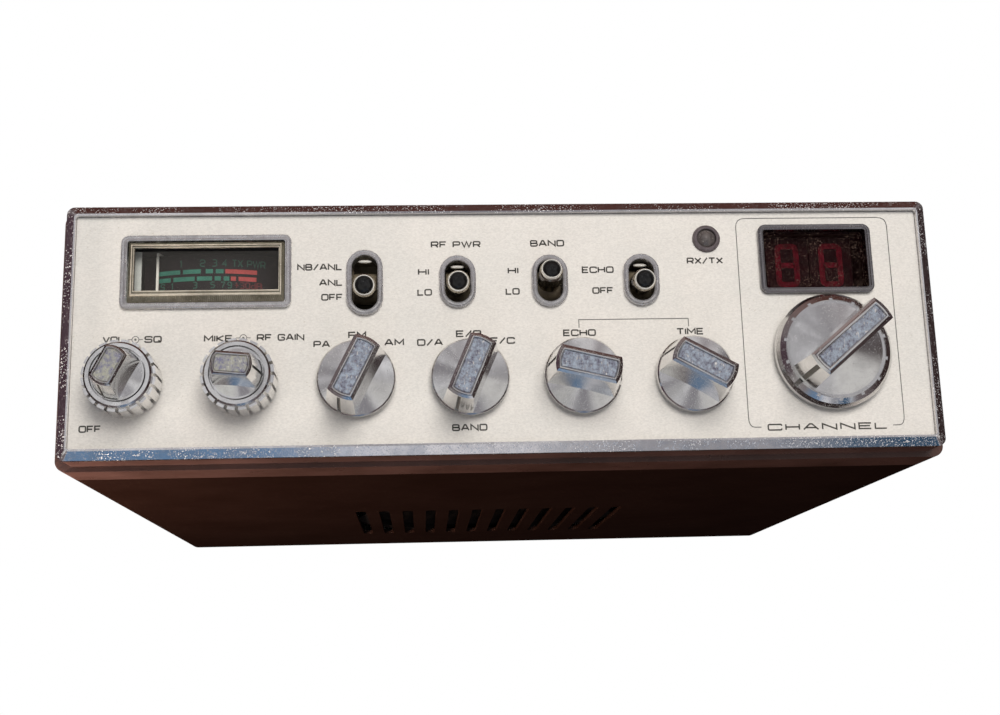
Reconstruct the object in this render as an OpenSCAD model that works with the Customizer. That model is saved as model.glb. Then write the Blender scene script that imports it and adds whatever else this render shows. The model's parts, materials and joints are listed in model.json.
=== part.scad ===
// Mobile transceiver: case, front panel with controls, meter and display, chassis, board and speaker.
// Millimetres. +Z up, the front panel faces -Y, and +X is to the right seen from the front.
// The origin is on the resting surface, under the middle of the whole object.

/* [Case] */
// Width of the covers
case_w = 201; // [200:0.5:206]
// Height of the covers
case_h = 60; // [60:0.5:64]
// Depth from the bezel's front lip to the rear edge of the covers
case_d = 194; // [192:1:206]
// Radius of the long edges of the case
case_r = 2.5; // [1.5:0.1:4]
// Thickness of the sheet metal
sheet = 1.2; // [1:0.1:1.4]
// Height of the seam between the bottom and the top cover
seam_z = 12; // [11:0.5:13]

/* [Bezel and panel] */
// Width of the front lip
lip_w = 196.2; // [195:0.2:197]
// Height of the front lip
lip_h = 57.6; // [57:0.2:58]
// Depth of the narrow front stage of the bezel
lip_d = 9.5; // [8:0.5:11]
// Depth of the whole bezel
bezel_d = 22; // [20:0.5:24]
// Width of the chrome rim at the sides
rim_x = 2.3; // [2.1:0.1:2.4]
// Width of the chrome rim at the top and the bottom
rim_z = 2.4; // [2.1:0.1:2.5]
// Depth of the panel's face behind the lip
panel_y = 1.3; // [1:0.1:1.5]
// Thickness of the front panel
panel_t = 1; // [0.8:0.1:1.2]

/* [Rotary controls] */
// Centre of the leftmost rotary control
knob_x0 = -83.6; // [-84:0.1:-83]
// Spacing of the six rotary controls
knob_pitch = 25.1; // [24.8:0.1:25.3]
// Height of the rotary controls' axes
knob_z = 18.1; // [17.6:0.1:18.6]
// Radius of a small knob's skirt
skirt_r = 8.6; // [8.2:0.1:9]
// Height of a small knob in front of the panel
knob_h = 14; // [13:0.5:15]
// Radius of the fluted outer ring of a dual control
ring_r = 7.9; // [7.7:0.1:8.2]
// Height of the outer ring in front of the panel
ring_h = 9.8; // [9.4:0.1:10.2]
// Height of a dual control in front of the panel
dual_h = 19; // [18:0.5:20]
// Number of flutes on the outer ring
flutes = 20; // [16:1:22]
// Clockwise turn of the volume knob's bar
volume_turn = 27; // [0:1:90]
// Clockwise turn of the microphone gain knob's bar
mic_gain_turn = 95.5; // [0:0.5:180]
// Clockwise turn of the mode knob's bar
mode_turn = 26.5; // [0:0.5:90]
// Clockwise turn of the band knob's bar
band_turn = 23; // [0:0.5:90]
// Clockwise turn of the echo knob's bar
echo_turn = 103.5; // [0:0.5:180]
// Clockwise turn of the time knob's bar
time_turn = 119; // [0:0.5:180]

/* [Channel selector] */
// Place of the channel selector across the panel
channel_x = 73.6; // [72.6:0.1:74.6]
// Height of the channel selector's axis
channel_z = 22.9; // [22.4:0.1:23.2]
// Radius of the channel knob's skirt
channel_r = 13.2; // [12.8:0.1:13.4]
// Height of the channel knob in front of the panel
channel_h = 16.5; // [15.5:0.5:17.5]
// Clockwise turn of the channel knob's bar
channel_turn = 50; // [0:1:180]

/* [Toggle switches] */
// Centre of the leftmost toggle switch
toggle_x0 = -31.5; // [-32:0.1:-31]
// Spacing of the toggle switches
toggle_pitch = 20.87; // [20.6:0.01:21]
// Height of the toggle switches
toggle_z = 40.4; // [40:0.1:40.8]
// Reach of a lever's tip in front of the panel
lever_h = 6; // [5.6:0.1:6.4]
// Tilt of a two-position lever to either side
tilt_two = 7; // [5:0.5:7]
// Tilt of the three-position lever to either side
tilt_three = 10.6; // [9:0.1:11]

/* [Meter and display] */
// Centre of the meter across the panel
meter_x = -66.75; // [-67.5:0.05:-66]
// Height of the centre of the meter
meter_z = 43.3; // [43:0.1:43.6]
// Turn of the needle from the middle of the scale at rest
needle_rest = -20; // [-22:0.5:-18]
// Radius of the curved meter dial
dial_r = 34; // [33:0.5:35]
// Centre of the channel display across the panel
display_x = 71.6; // [71:0.1:72]
// Height of the centre of the display
display_z = 45; // [44.8:0.1:45.2]
// Place of the indicator lamp across the panel
lamp_x = 46.6; // [46:0.1:47]
// Height of the indicator lamp
lamp_z = 50.1; // [49.6:0.1:50.4]

/* [Inside and rear] */
// Depth of the heat sink behind the covers
sink_d = 22; // [16:1:24]
// Number of heat sink fins
fins = 16; // [12:1:18]
// Radius of the speaker's rim
speaker_r = 38.5; // [37:0.5:39]
// Distance of the speaker's centre behind the lip
speaker_y = 127; // [124:1:130]
// Number of sound slots under the speaker
slots = 12; // [10:1:12]

/* [Hidden] */
$fn = 64;
// Finishes
chrome = [0.80, 0.80, 0.82];
satin = [0.70, 0.70, 0.71];
case_brown = [0.11, 0.06, 0.04];
steel = [0.62, 0.62, 0.60];
black = [0.05, 0.05, 0.05];
// Extra length of a cutter past the face it cuts
eps = 1;
// Clearance of a press fit inside one body, and of a shaft in its bearing
snug = 0.02;
running = 0.05;
// The object's middle is between the foremost knob and the heat sink's fins
rear_y = case_d + sink_d;
lip_y = -(panel_y - dual_h + rear_y) / 2;
panel_w = lip_w - 2 * rim_x;
panel_h = lip_h - 2 * rim_z;
// Layers behind the panel's face, as heights outwards from that face
panel_back = -panel_t;
plate_t = 2;
plate_back = panel_back - plate_t;
sub_gap = 0.2;
sub_front = plate_back - sub_gap;
sub_back = sub_front - sheet;
sub_y = panel_y - sub_back;
// Chassis
rail_x = 95;
rail_z = [3.4, 56.6];
insert_r = 4.45;
board_z = 26;
board_t = 1.6;
board_w = 184;
board_y = [46, 184];
panel_end = case_d - 1.4;
// Screws
screw_r = 1.5;
head_r = 2.9;
screw_y = [40, 176];
screw_z = [7, 31];
bracket_y = 108;
bracket_z = 36;
thread_r = 2.5;
mic_y = 60;
mic_z = 38;
mic_r = 8;
// Controls
bush_r = 3.5;
shaft_r = 2;
tube_r = 3;
nut_r = 5.7;
pivot_h = -5;
lever_r = 2.6;
slot_w = 5.86;
slot_two = 9.84;
slot_three = 12.85;
flange_w = 8.1;
rim_t = 1;
ante_x = 80;
ante_z = 38;
ante_neck_r = 6;
jack_x = [42, 58];
jack_z = 16;
jack_r = 1.8;
power_x = 48;
power_z = 41;
power_w = 20;
power_h = 12;

pivot_z = -4.3 - dial_r;

function control_x(i) = knob_x0 + i * knob_pitch;
function toggle_x(i) = toggle_x0 + i * toggle_pitch;
function slot_h(i) = i == 0 ? slot_three : slot_two;
function grow(h) = h + flange_w - slot_w;

// A block between two corners, with y measured back from the front lip
module block(x, y, z) {
    translate([x[0], lip_y + y[0], z[0]])
    cube([x[1] - x[0], y[1] - y[0], z[1] - z[0]]);
}
// An outline in the X-Z plane, extruded from y0 to y1 behind the lip
module extrude_y(y0, y1) {
    translate([0, lip_y + y1, 0])
    rotate([90, 0, 0])
    linear_extrude(y1 - y0)
    children();
}
// Places children on the panel's face: their Z points out of the panel, turned clockwise
module on_panel(x, z, turn = 0) {
    translate([x, lip_y + panel_y, z])
    rotate([90, 0, 0])
    rotate([0, 0, -turn])
    children();
}
// A round bar along X, centred on a place on the sides
module side_bar(x, y, z, r, l) {
    translate([x, lip_y + y, z])
    rotate([0, 90, 0])
    cylinder(h = l, r = r, center = true);
}
// Places children on the rear panel: their Z points backwards
module on_rear(x, z) {
    translate([x, lip_y + case_d, z])
    rotate([-90, 0, 0])
    children();
}
module rounded(w, h, r) {
    square([w - 2 * r, h], center = true);
    square([w, h - 2 * r], center = true);
    for (sx = [-1, 1], sy = [-1, 1])
        translate([sx * (w / 2 - r), sy * (h / 2 - r)])
        circle(r);
}
module obround(w, h) {
    square([w, h - w], center = true);
    for (s = [-1, 1])
        translate([0, s * (h - w) / 2])
        circle(w / 2);
}
// A slab of an outline between two heights outwards from the panel
module slab(z0, z1) {
    translate([0, 0, z0])
    linear_extrude(z1 - z0)
    children();
}
module drum(r, z0, z1, r2 = 0) {
    translate([0, 0, z0])
    cylinder(h = z1 - z0, r1 = r, r2 = r2 > 0 ? r2 : r);
}
module case_section(inset = 0) {
    translate([0, case_h / 2])
    rounded(case_w - 2 * inset, case_h - 2 * inset, case_r - inset);
}
module lip_section(w, h, r) {
    translate([0, case_h / 2])
    rounded(w, h, r);
}
// Every hole that the controls, the meter, the display and the lamp need in a front sheet
module front_holes(z0, z1, gap) {
    for (i = [0:5])
        on_panel(control_x(i), knob_z) drum(bush_r + gap, z0, z1);
    on_panel(channel_x, channel_z) drum(bush_r + gap, z0, z1);
    on_panel(lamp_x, lamp_z) drum(2.6 + gap, z0, z1);
    for (i = [0:3])
        on_panel(toggle_x(i), toggle_z)
        slab(z0, z1) obround(slot_w + 1 + 2 * gap, slot_h(i) + 1 + 2 * gap);
    on_panel(meter_x, meter_z) slab(z0, z1) square([36.2 + 2 * gap, 15.4 + 2 * gap], center = true);
    on_panel(display_x, display_z) slab(z0, z1) square([24.8 + 2 * gap, 14.8 + 2 * gap], center = true);
}

// ---- Bezel, panel and covers ----
module bezel_trim() {
    slope_w = 1.9;
    slope_y = 1.2;
    color(chrome)
    difference() {
        union() {
            hull() {
                extrude_y(0, 0.05) lip_section(lip_w - 2 * slope_w, lip_h - 2 * slope_w, 0.9);
                extrude_y(slope_y, slope_y + 0.05) lip_section(lip_w, lip_h, 1.8);
            }
            extrude_y(slope_y, panel_y + panel_t) lip_section(lip_w, lip_h, 1.8);
        }
        extrude_y(-eps, panel_y + panel_t + eps) lip_section(panel_w + 0.1, panel_h + 0.1, 0.6);
    }
}
module front_bezel() {
    wall = 1.3;
    back = panel_y - plate_back;
    color(case_brown)
    difference() {
        union() {
            extrude_y(panel_y + panel_t, lip_d) lip_section(lip_w, lip_h, 1.8);
            extrude_y(lip_d, bezel_d) case_section();
        }
        extrude_y(back, bezel_d + eps) lip_section(lip_w - 2 * wall, lip_h - 2 * wall, 1);
        front_holes(plate_back - eps, panel_back + eps, 0.2);
    }
}
module front_panel() {
    color([0.88, 0.86, 0.82])
    difference() {
        extrude_y(panel_y, panel_y + panel_t) lip_section(panel_w, panel_h, 0.5);
        front_holes(panel_back - eps, eps, 0.1);
    }
}
module countersinks() {
    for (s = [-1, 1], y = screw_y, z = screw_z)
        translate([s * (case_w / 2 - sheet), lip_y + y, z])
        rotate([0, s * 90, 0])
        cylinder(h = sheet, r1 = screw_r + 0.1, r2 = head_r + 0.1);
}
module cover_shell() {
    extrude_y(bezel_d, case_d)
    difference() {
        case_section();
        case_section(sheet);
    }
}
module top_cover() {
    color(case_brown)
    difference() {
        cover_shell();
        block([-case_w, case_w], [0, rear_y], [-eps, seam_z + 0.1]);
        countersinks();
        side_bar(0, bracket_y, bracket_z, 3.4, case_w + 2);
        side_bar(-case_w / 2, mic_y, mic_z, mic_r + 3.5, 6);
    }
}
module bottom_cover() {
    slot_pitch = 6.7;
    slot_half = 1.5;
    slot_l = 62;
    color(case_brown)
    difference() {
        cover_shell();
        block([-case_w, case_w], [0, rear_y], [seam_z - 0.1, case_h + eps]);
        countersinks();
        for (i = [0:slots - 1])
            translate([(i - (slots - 1) / 2) * slot_pitch, lip_y + speaker_y, -eps])
            linear_extrude(sheet + 2 * eps)
            obround(2 * slot_half, slot_l);
    }
}

// ---- Chassis ----
module side_rails() {
    color(steel)
    difference() {
        for (s = [-1, 1])
            mirror([s > 0 ? 0 : 1, 0, 0]) {
                block([rail_x, rail_x + sheet], [sub_y, panel_end], rail_z);
                block([88, rail_x], board_y, [board_z - sheet, board_z]);
            }
        for (y = screw_y, z = screw_z)
            side_bar(0, y, z, 2.4, 2 * case_w);
        side_bar(0, bracket_y, bracket_z, insert_r + 0.05, 2 * case_w);
        side_bar(-rail_x, mic_y, mic_z, mic_r + 0.2, 6);
    }
}
module subpanel() {
    color(steel)
    difference() {
        extrude_y(panel_y - sub_front, sub_y) lip_section(2 * (rail_x + sheet), rail_z[1] - rail_z[0], 1);
        front_holes(sub_back - eps, sub_front + eps, 0.1);
    }
}
module rear_panel() {
    color(steel)
    difference() {
        extrude_y(panel_end, case_d)
        lip_section(case_w - 2 * sheet - 0.4, case_h - 2 * sheet - 0.4, 1.1);
        on_rear(ante_x, ante_z) drum(ante_neck_r + 0.2, -3, eps);
        on_rear(power_x, power_z) slab(-3, eps) square([power_w + 0.4, power_h + 0.4], center = true);
        for (x = jack_x)
            on_rear(x, jack_z) drum(3.2, -3, eps);
    }
}
module heat_sink() {
    sink_x = [-95, 26];
    base = 4;
    fin_t = 1.8;
    step = (sink_x[1] - sink_x[0] - fin_t) / (fins - 1);
    color(black) {
        block(sink_x, [case_d, case_d + base], [4, 56]);
        for (i = [0:fins - 1])
            block([sink_x[0] + i * step, sink_x[0] + i * step + fin_t], [case_d + base, rear_y], [4, 56]);
    }
}
module case_screws() {
    color([0.15, 0.15, 0.15])
    for (s = [-1, 1], y = screw_y, z = screw_z)
        translate([s * (case_w / 2), lip_y + y, z])
        rotate([0, -s * 90, 0])
        difference() {
            union() {
                cylinder(h = sheet, r1 = head_r, r2 = screw_r);
                cylinder(h = 6.5, r = screw_r);
            }
            for (a = [0, 90])
                rotate([0, 0, a]) cube([3.4, 0.7, 1.6], center = true);
        }
}
// Threaded inserts between the rails and the covers, for the mounting bracket and the case screws
module bracket_nuts() {
    color([0.75, 0.68, 0.45]) {
        for (s = [-1, 1])
            translate([s * (rail_x - 2), lip_y + bracket_y, bracket_z])
            rotate([0, s * 90, 0])
            difference() {
                union() {
                    cylinder(h = 6.2, r = insert_r);
                    translate([0, 0, 2 + sheet]) cylinder(h = case_w / 2 - sheet - rail_x - sheet, r = 6);
                }
                translate([0, 0, -eps]) cylinder(h = 10, r = thread_r);
            }
        for (s = [-1, 1], y = screw_y, z = screw_z)
            translate([s * (rail_x + sheet), lip_y + y, z])
            rotate([0, s * 90, 0])
            difference() {
                cylinder(h = case_w / 2 - 2 * sheet - rail_x, r = 3.4);
                translate([0, 0, -eps]) cylinder(h = 10, r = screw_r + 0.1);
            }
    }
}

// ---- Fittings of the front panel ----
module control_nuts() {
    color(chrome) {
        for (i = [0:5])
            on_panel(control_x(i), knob_z) hex_nut();
        on_panel(channel_x, channel_z) hex_nut();
    }
}
module hex_nut() {
    difference() {
        cylinder(h = 1.6, r = nut_r, $fn = 6);
        translate([0, 0, -eps]) cylinder(h = 4, r = bush_r + snug);
    }
}
// One chrome surround of a toggle switch, with its neck through the panel
module switch_bezel(h) {
    difference() {
        union() {
            slab(0, rim_t) obround(flange_w, grow(h));
            slab(plate_back, 0) obround(slot_w + 1, h + 1);
        }
        slab(plate_back - eps, rim_t + eps) obround(slot_w, h);
    }
}
module switch_bezels() {
    color(satin)
    for (i = [0:3])
        on_panel(toggle_x(i), toggle_z) switch_bezel(slot_h(i));
}
// Body of a toggle switch behind the subpanel, with a pocket and two bearings for the lever's pin
module switch_bodies() {
    color([0.45, 0.16, 0.10])
    for (i = [0:3])
        on_panel(toggle_x(i), toggle_z)
        difference() {
            slab(sub_back - 11, sub_back) square([10, slot_h(i) + 4], center = true);
            slab(sub_back - 6, sub_back + eps) square([5.4, slot_h(i) + 1], center = true);
            translate([0, 0, pivot_h]) rotate([0, 90, 0]) cylinder(h = 12, r = 0.6 + running, center = true);
        }
}
module lever(tilt) {
    translate([0, 0, pivot_h])
    rotate([-tilt, 0, 0])
    translate([0, 0, -pivot_h]) {
        drum(lever_r, -1.6, lever_h - 1.6);
        drum(lever_r, lever_h - 1.6, lever_h - 1.2, lever_r - 0.3);
        drum(lever_r - 0.45, lever_h - 1.2, lever_h - 0.6);
        drum(lever_r - 0.45, lever_h - 0.6, lever_h - 0.2, lever_r - 0.9);
        drum(lever_r - 0.9, lever_h - 0.2, lever_h, lever_r - 1.6);
        drum(1.5, pivot_h - 3.5, -1.6);
        translate([0, 0, pivot_h]) rotate([0, 90, 0]) cylinder(h = 9.4, r = 0.6, center = true);
    }
}
module noise_lever() {
    color(black)
    on_panel(toggle_x(0), toggle_z) lever(-tilt_three);
}
module power_lever() {
    color(black)
    on_panel(toggle_x(1), toggle_z) lever(-tilt_two);
}
module band_lever() {
    color(black)
    on_panel(toggle_x(2), toggle_z) lever(tilt_two);
}
module echo_lever() {
    color(black)
    on_panel(toggle_x(3), toggle_z) lever(-tilt_two);
}
// A rectangular chrome frame on the panel, with its neck through the panel
module frame_bezel(w, h, r, opening, neck) {
    difference() {
        union() {
            slab(0, rim_t) rounded(w, h, r);
            slab(plate_back, 0) square(neck, center = true);
        }
        slab(plate_back - eps, rim_t + eps) rounded(opening[0], opening[1], 0.6);
    }
}
module meter_bezel() {
    color(chrome)
    on_panel(meter_x, meter_z) frame_bezel(37.7, 16.85, 1.6, [35, 14.4], [36.2, 15.4]);
}
module meter_lens() {
    color([0.75, 0.74, 0.70, 0.4])
    on_panel(meter_x, meter_z) {
        slab(-1.6, 0) rounded(34.9, 14.3, 0.55);
        hull() {
            slab(0, 0.1) square([33.8, 13.5], center = true);
            slab(1.2, 1.3) square([31.8, 10.4], center = true);
        }
    }
}
module meter_housing() {
    w = 36;
    h = 15.2;
    deep = 46;
    color(black)
    on_panel(meter_x, meter_z) {
        difference() {
            slab(sub_back - deep, sub_back) square([w, h], center = true);
            slab(sub_back - deep + 1.2, sub_back + eps) square([w - 2, h - 2], center = true);
        }
        // Magnet block with the lower bearing of the needle's spindle
        difference() {
            slab(sub_back - deep + 1.2, sub_back - 24) translate([0, -4.3]) square([22, 4.6], center = true);
            translate([0, -1.9, pivot_z]) rotate([90, 0, 0]) cylinder(h = 2.8, r = 0.5 + running);
        }
    }
}
// Printed scale, curved round the needle's pivot
module meter_dial() {
    color([0.04, 0.06, 0.05])
    on_panel(meter_x, meter_z)
    translate([0, 0, pivot_z])
    rotate([90, 0, 0])
    linear_extrude(11.6, center = true)
    intersection() {
        difference() {
            circle(dial_r, $fn = 128);
            circle(dial_r - 0.6, $fn = 128);
        }
        translate([-15.25, 0]) square([30.5, dial_r + 1]);
    }
}
module meter_needle() {
    color([0.95, 0.95, 0.92])
    on_panel(meter_x, meter_z)
    translate([0, 0, pivot_z])
    rotate([0, needle_rest, 0]) {
        // Pointer in front of the dial, arm above it, and the pivot's spindle
        translate([-0.27, -4.1, dial_r + 0.7]) cube([0.54, 10.4, 0.3]);
        translate([-0.27, 6, 0]) cube([0.54, 0.3, dial_r + 1]);
        translate([0, 6.1, 0]) rotate([90, 0, 0]) cylinder(h = 10.6, r = 0.5);
        translate([-3, -1.6, -3]) cube([6, 4, 6]);
    }
}
module lamp_bezel() {
    color(chrome)
    on_panel(lamp_x, lamp_z)
    difference() {
        union() {
            drum(3.2, 0, 0.5);
            drum(3.2, 0.5, rim_t, 2.8);
            drum(2.6, plate_back, 0);
        }
        drum(2.15, plate_back - eps, rim_t + eps);
    }
}
module lamp_lens() {
    color([0.35, 0.08, 0.08])
    on_panel(lamp_x, lamp_z) {
        drum(2.1, plate_back, 0.2);
        intersection() {
            drum(2.1, 0.2, 2);
            translate([0, 0, -1.2]) sphere(2.6);
        }
        drum(2.6, sub_back - 1, plate_back);
    }
}
module display_bezel() {
    color(chrome)
    on_panel(display_x, display_z) frame_bezel(26.2, 16.3, 1.8, [23.9, 13.9], [24.8, 14.8]);
}
module display_window() {
    color([0.16, 0.02, 0.03, 0.7])
    on_panel(display_x, display_z) slab(-1.4, -0.2) rounded(23.8, 13.8, 0.55);
}
// Two seven-segment digits on their own small board
module digit_modules() {
    color([0.12, 0.02, 0.03])
    on_panel(display_x, display_z) {
        for (s = [-1, 1])
            slab(-10, -4.8) translate([s * 5.1, 0]) square([10, 13.4], center = true);
        slab(-11.4, -10) square([23, 14.2], center = true);
    }
}

// ---- Rotary controls ----
// Bearing bush through the front sheets
module bush(bore, reach) {
    difference() {
        drum(bush_r, sub_back, reach);
        drum(bore + running, sub_back - eps, reach + eps);
    }
}
module potentiometers() {
    color([0.55, 0.50, 0.42]) {
        for (i = [0, 1])
            on_panel(control_x(i), knob_z)
            difference() {
                union() {
                    bush(tube_r, 3.6);
                    drum(8.2, sub_back - 18, sub_back);
                    slab(sub_back - 12, sub_back - 4) translate([0, -9]) square([10, 4], center = true);
                }
                drum(tube_r + running, sub_back - 8.5, sub_back + eps);
                drum(shaft_r + running, sub_back - 16, sub_back);
            }
        for (i = [4, 5])
            on_panel(control_x(i), knob_z)
            difference() {
                union() {
                    bush(shaft_r, 2.3);
                    drum(8.2, sub_back - 11, sub_back);
                    slab(sub_back - 8, sub_back - 3) translate([0, -9]) square([10, 4], center = true);
                }
                drum(shaft_r + running, sub_back - 9, sub_back + eps);
            }
    }
}
module rotary_switches() {
    color([0.50, 0.42, 0.30]) {
        for (i = [2, 3])
            on_panel(control_x(i), knob_z) rotary_switch(11.6, 20);
        on_panel(channel_x, channel_z) rotary_switch(12, 18);
    }
}
module rotary_switch(r, deep) {
    difference() {
        union() {
            bush(shaft_r, 2.3);
            drum(r, sub_back - 2.5, sub_back);
            drum(5, sub_back - deep, sub_back - 2.5);
            for (z = [0.4, 0.7, 1])
                drum(r, sub_back - deep * z, sub_back - deep * z + 1.4);
        }
        drum(shaft_r + running, sub_back - deep + 2.5, sub_back + eps);
    }
}
// A finger bar: drafted sides, ends that follow the knob's round edge, and a pocket for the inlay
module finger_bar(z0, z1, r0, r1, w0, w1, rim = 0.95) {
    pocket = 0.4;
    slope = 0.4;
    flat = rim - 0.25;
    h = z1 - z0;
    difference() {
        intersection() {
            union() {
                drum(r0, z0, z1 - slope, r1);
                drum(r1, z1 - slope, z1, r1 - flat);
            }
            translate([0, 0, z0])
            rotate([90, 0, 0])
            linear_extrude(4 * r0, center = true)
            polygon([[-w0 / 2, 0], [w0 / 2, 0], [w1 / 2, h - slope], [w1 / 2 - flat, h],
                     [flat - w1 / 2, h], [-w1 / 2, h - slope]]);
        }
        slab(z1 - pocket, z1 + eps)
        intersection() {
            circle(r1 - rim);
            square([w1 - 2 * rim, 2 * r1], center = true);
        }
    }
}
// Pointer lines down both ends of the bar and across the skirt
module pointer_lines(z0, z1, r0, r1, w) {
    deep = 0.5;
    for (s = [-1, 1])
        intersection() {
            difference() {
                drum(r0 + 3, z0 - eps, z1 - 0.8);
                drum(r0 - deep, z0 - eps, z0);
                drum(r0 - deep, z0, z1, r1 - deep);
            }
            translate([-w / 2, s > 0 ? 0 : -2 * r0, z0 - 2]) cube([w, 2 * r0, z1]);
        }
}
module single_knob() {
    face = 2.9;
    r0 = skirt_r - 0.3;
    r1 = 7.2;
    difference() {
        union() {
            drum(skirt_r, 0.8, face - 0.3);
            drum(skirt_r, face - 0.3, face, r0);
            drum(r0, face, face + 1.4, 2.5);
            finger_bar(face, knob_h, r0, r1, 7.2, 6);
        }
        drum(6.6, 0.8 - eps, 2.5);
        drum(shaft_r + snug, 0, knob_h - 3);
        pointer_lines(face, knob_h, r0, r1, 0.8);
        for (s = [-1, 1])
            translate([-0.5, s > 0 ? skirt_r - 0.5 : -skirt_r - eps, 0]) cube([1, eps + 0.5, knob_h]);
    }
}
module control_shaft(x, z, deep, reach) {
    color(steel)
    on_panel(x, z) drum(shaft_r, sub_back - deep, reach);
}
module dual_knob() {
    face = ring_h;
    r0 = 5.6;
    r1 = 4.35;
    difference() {
        union() {
            drum(5.7, 7.2, face);
            drum(5.3, face, face + 0.7, 2.5);
            finger_bar(face, dual_h, r0, r1, 6, 5.1, 0.7);
        }
        drum(shaft_r + snug, 6, dual_h - 3.4);
        pointer_lines(face, dual_h, r0, r1, 0.6);
    }
}
// Fluted cup: grips the hollow shaft, and the inner knob turns inside its mouth
module dual_ring() {
    slot_deep = 0.8;
    difference() {
        union() {
            drum(ring_r, 0.8, ring_h - 1.2);
            drum(ring_r - 0.7, ring_h - 1.3, ring_h - 0.4);
            drum(ring_r - 0.7, ring_h - 0.4, ring_h, ring_r - 1.1);
        }
        for (i = [0:flutes - 1])
            rotate([0, 0, i * 360 / flutes])
            translate([ring_r - slot_deep, -0.35, 0.4])
            cube([2, 0.7, ring_h - 1.1]);
        drum(6.2, 0, 4);
        drum(tube_r + snug, 0, ring_h);
        drum(6, 6.6, ring_h + eps);
    }
}
module hollow_shaft(x, z) {
    color(steel)
    on_panel(x, z)
    difference() {
        drum(tube_r, sub_back - 8, 6.4);
        drum(shaft_r + running, sub_back - 9, 7);
    }
}
module large_knob() {
    face = 4.2;
    groove_r = 11.05;
    r0 = 10.8;
    r1 = 10.1;
    notches = 14;
    difference() {
        union() {
            drum(channel_r, 0.8, 2.4);
            drum(channel_r, 2.4, 3.4, channel_r - 0.7);
            drum(channel_r - 0.7, 3.4, face, groove_r + 0.25);
            drum(groove_r, face - 0.1, face + 1.4, 3);
            finger_bar(face - 0.1, channel_h, r0, r1, 7, 5.9);
        }
        drum(6.6, 0.8 - eps, 2.5);
        drum(shaft_r + snug, 0, channel_h - 4);
        difference() {
            drum(groove_r + 0.25, face - 0.35, face + eps);
            drum(groove_r, face - 0.35 - eps, face + 2 * eps);
        }
        for (i = [0:notches - 1])
            rotate([0, 0, (i + 0.5) * 360 / notches])
            translate([groove_r - 0.1, -0.4, face - 0.35])
            cube([0.9, 0.8, 2]);
        pointer_lines(face, channel_h, r0, r1, 1.3);
    }
}
module volume_knob() {
    color(chrome)
    on_panel(control_x(0), knob_z, volume_turn) dual_knob();
}
module volume_shaft() {
    control_shaft(control_x(0), knob_z, 15.5, dual_h - 3.6);
}
module squelch_ring() {
    color(chrome)
    on_panel(control_x(0), knob_z) dual_ring();
}
module squelch_shaft() {
    hollow_shaft(control_x(0), knob_z);
}
module mic_gain_knob() {
    color(chrome)
    on_panel(control_x(1), knob_z, mic_gain_turn) dual_knob();
}
module mic_gain_shaft() {
    control_shaft(control_x(1), knob_z, 15.5, dual_h - 3.6);
}
module rf_gain_ring() {
    color(chrome)
    on_panel(control_x(1), knob_z) dual_ring();
}
module rf_gain_shaft() {
    hollow_shaft(control_x(1), knob_z);
}
module mode_knob() {
    color(chrome)
    on_panel(control_x(2), knob_z, mode_turn) single_knob();
}
module mode_shaft() {
    control_shaft(control_x(2), knob_z, 17, knob_h - 3.2);
}
module band_knob() {
    color(chrome)
    on_panel(control_x(3), knob_z, band_turn) single_knob();
}
module band_shaft() {
    control_shaft(control_x(3), knob_z, 17, knob_h - 3.2);
}
module echo_knob() {
    color(chrome)
    on_panel(control_x(4), knob_z, echo_turn) single_knob();
}
module echo_shaft() {
    control_shaft(control_x(4), knob_z, 8.5, knob_h - 3.2);
}
module time_knob() {
    color(chrome)
    on_panel(control_x(5), knob_z, time_turn) single_knob();
}
module time_shaft() {
    control_shaft(control_x(5), knob_z, 8.5, knob_h - 3.2);
}
module channel_knob() {
    color(chrome)
    on_panel(channel_x, channel_z, channel_turn) large_knob();
}
module channel_shaft() {
    control_shaft(channel_x, channel_z, 15, channel_h - 4.2);
}

// ---- Board and what is on it ----
module main_board() {
    color([0.16, 0.35, 0.16])
    block([-board_w / 2, board_w / 2], board_y, [board_z, board_z + board_t]);
}
module tuning_cans() {
    can = 10;
    color(steel)
    for (i = [0:5], j = [0:1])
        translate([-72 + i * 17, lip_y + 62 + j * 20, board_z + board_t])
        difference() {
            cube([can, can, 12.5]);
            translate([can / 2, can / 2, 11]) cylinder(h = 3, r = 2.2);
        }
}
module capacitors() {
    color([0.08, 0.10, 0.22])
    for (i = [0:6])
        translate([-66 + i * 20, lip_y + 112 + (i % 2) * 9, board_z + board_t])
        cylinder(h = 9 + 3 * (i % 2), r = 3 + (i % 3));
}
module chips() {
    color(black)
    for (i = [0:4])
        translate([-70 + i * 30, lip_y + 140, board_z + board_t])
        cube([19, 7, 3.4]);
}
module power_transistors() {
    color(black)
    for (i = [0:3])
        block([-82 + i * 26, -72 + i * 26], [panel_end - 4.6, panel_end], [33, 48]);
}

// ---- Speaker ----
module at_speaker() {
    translate([0, lip_y + speaker_y, sheet]) children();
}
module speaker_frame() {
    color(black)
    at_speaker()
    difference() {
        union() {
            difference() {
                drum(speaker_r, 0, 2.4);
                drum(speaker_r - 4.5, -eps, 2.4 + eps);
            }
            difference() {
                drum(speaker_r - 1, 2.4, 14, 17);
                drum(speaker_r - 2.2, 2.4 - eps, 13, 15.6);
                for (a = [0:60:300])
                    rotate([0, 0, a]) translate([22, -6, 0]) cube([20, 12, 13]);
            }
            drum(17, 13, 22.4);
        }
        // Ring-shaped gap of the magnet, round its middle pole
        difference() {
            drum(8.4, 12, 20);
            drum(6.6, 11, 21);
        }
    }
}
module speaker_cone() {
    color([0.15, 0.13, 0.12])
    at_speaker()
    rotate_extrude()
    polygon([[7.2, 17.5], [7.2, 10.6], [0, 9], [0, 8.2], [7.6, 9.6], [32.6, 1.4], [33.3, 1.4], [33.3, 2],
             [32.8, 2.2], [7.8, 11], [7.8, 17.5]]);
}

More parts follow.
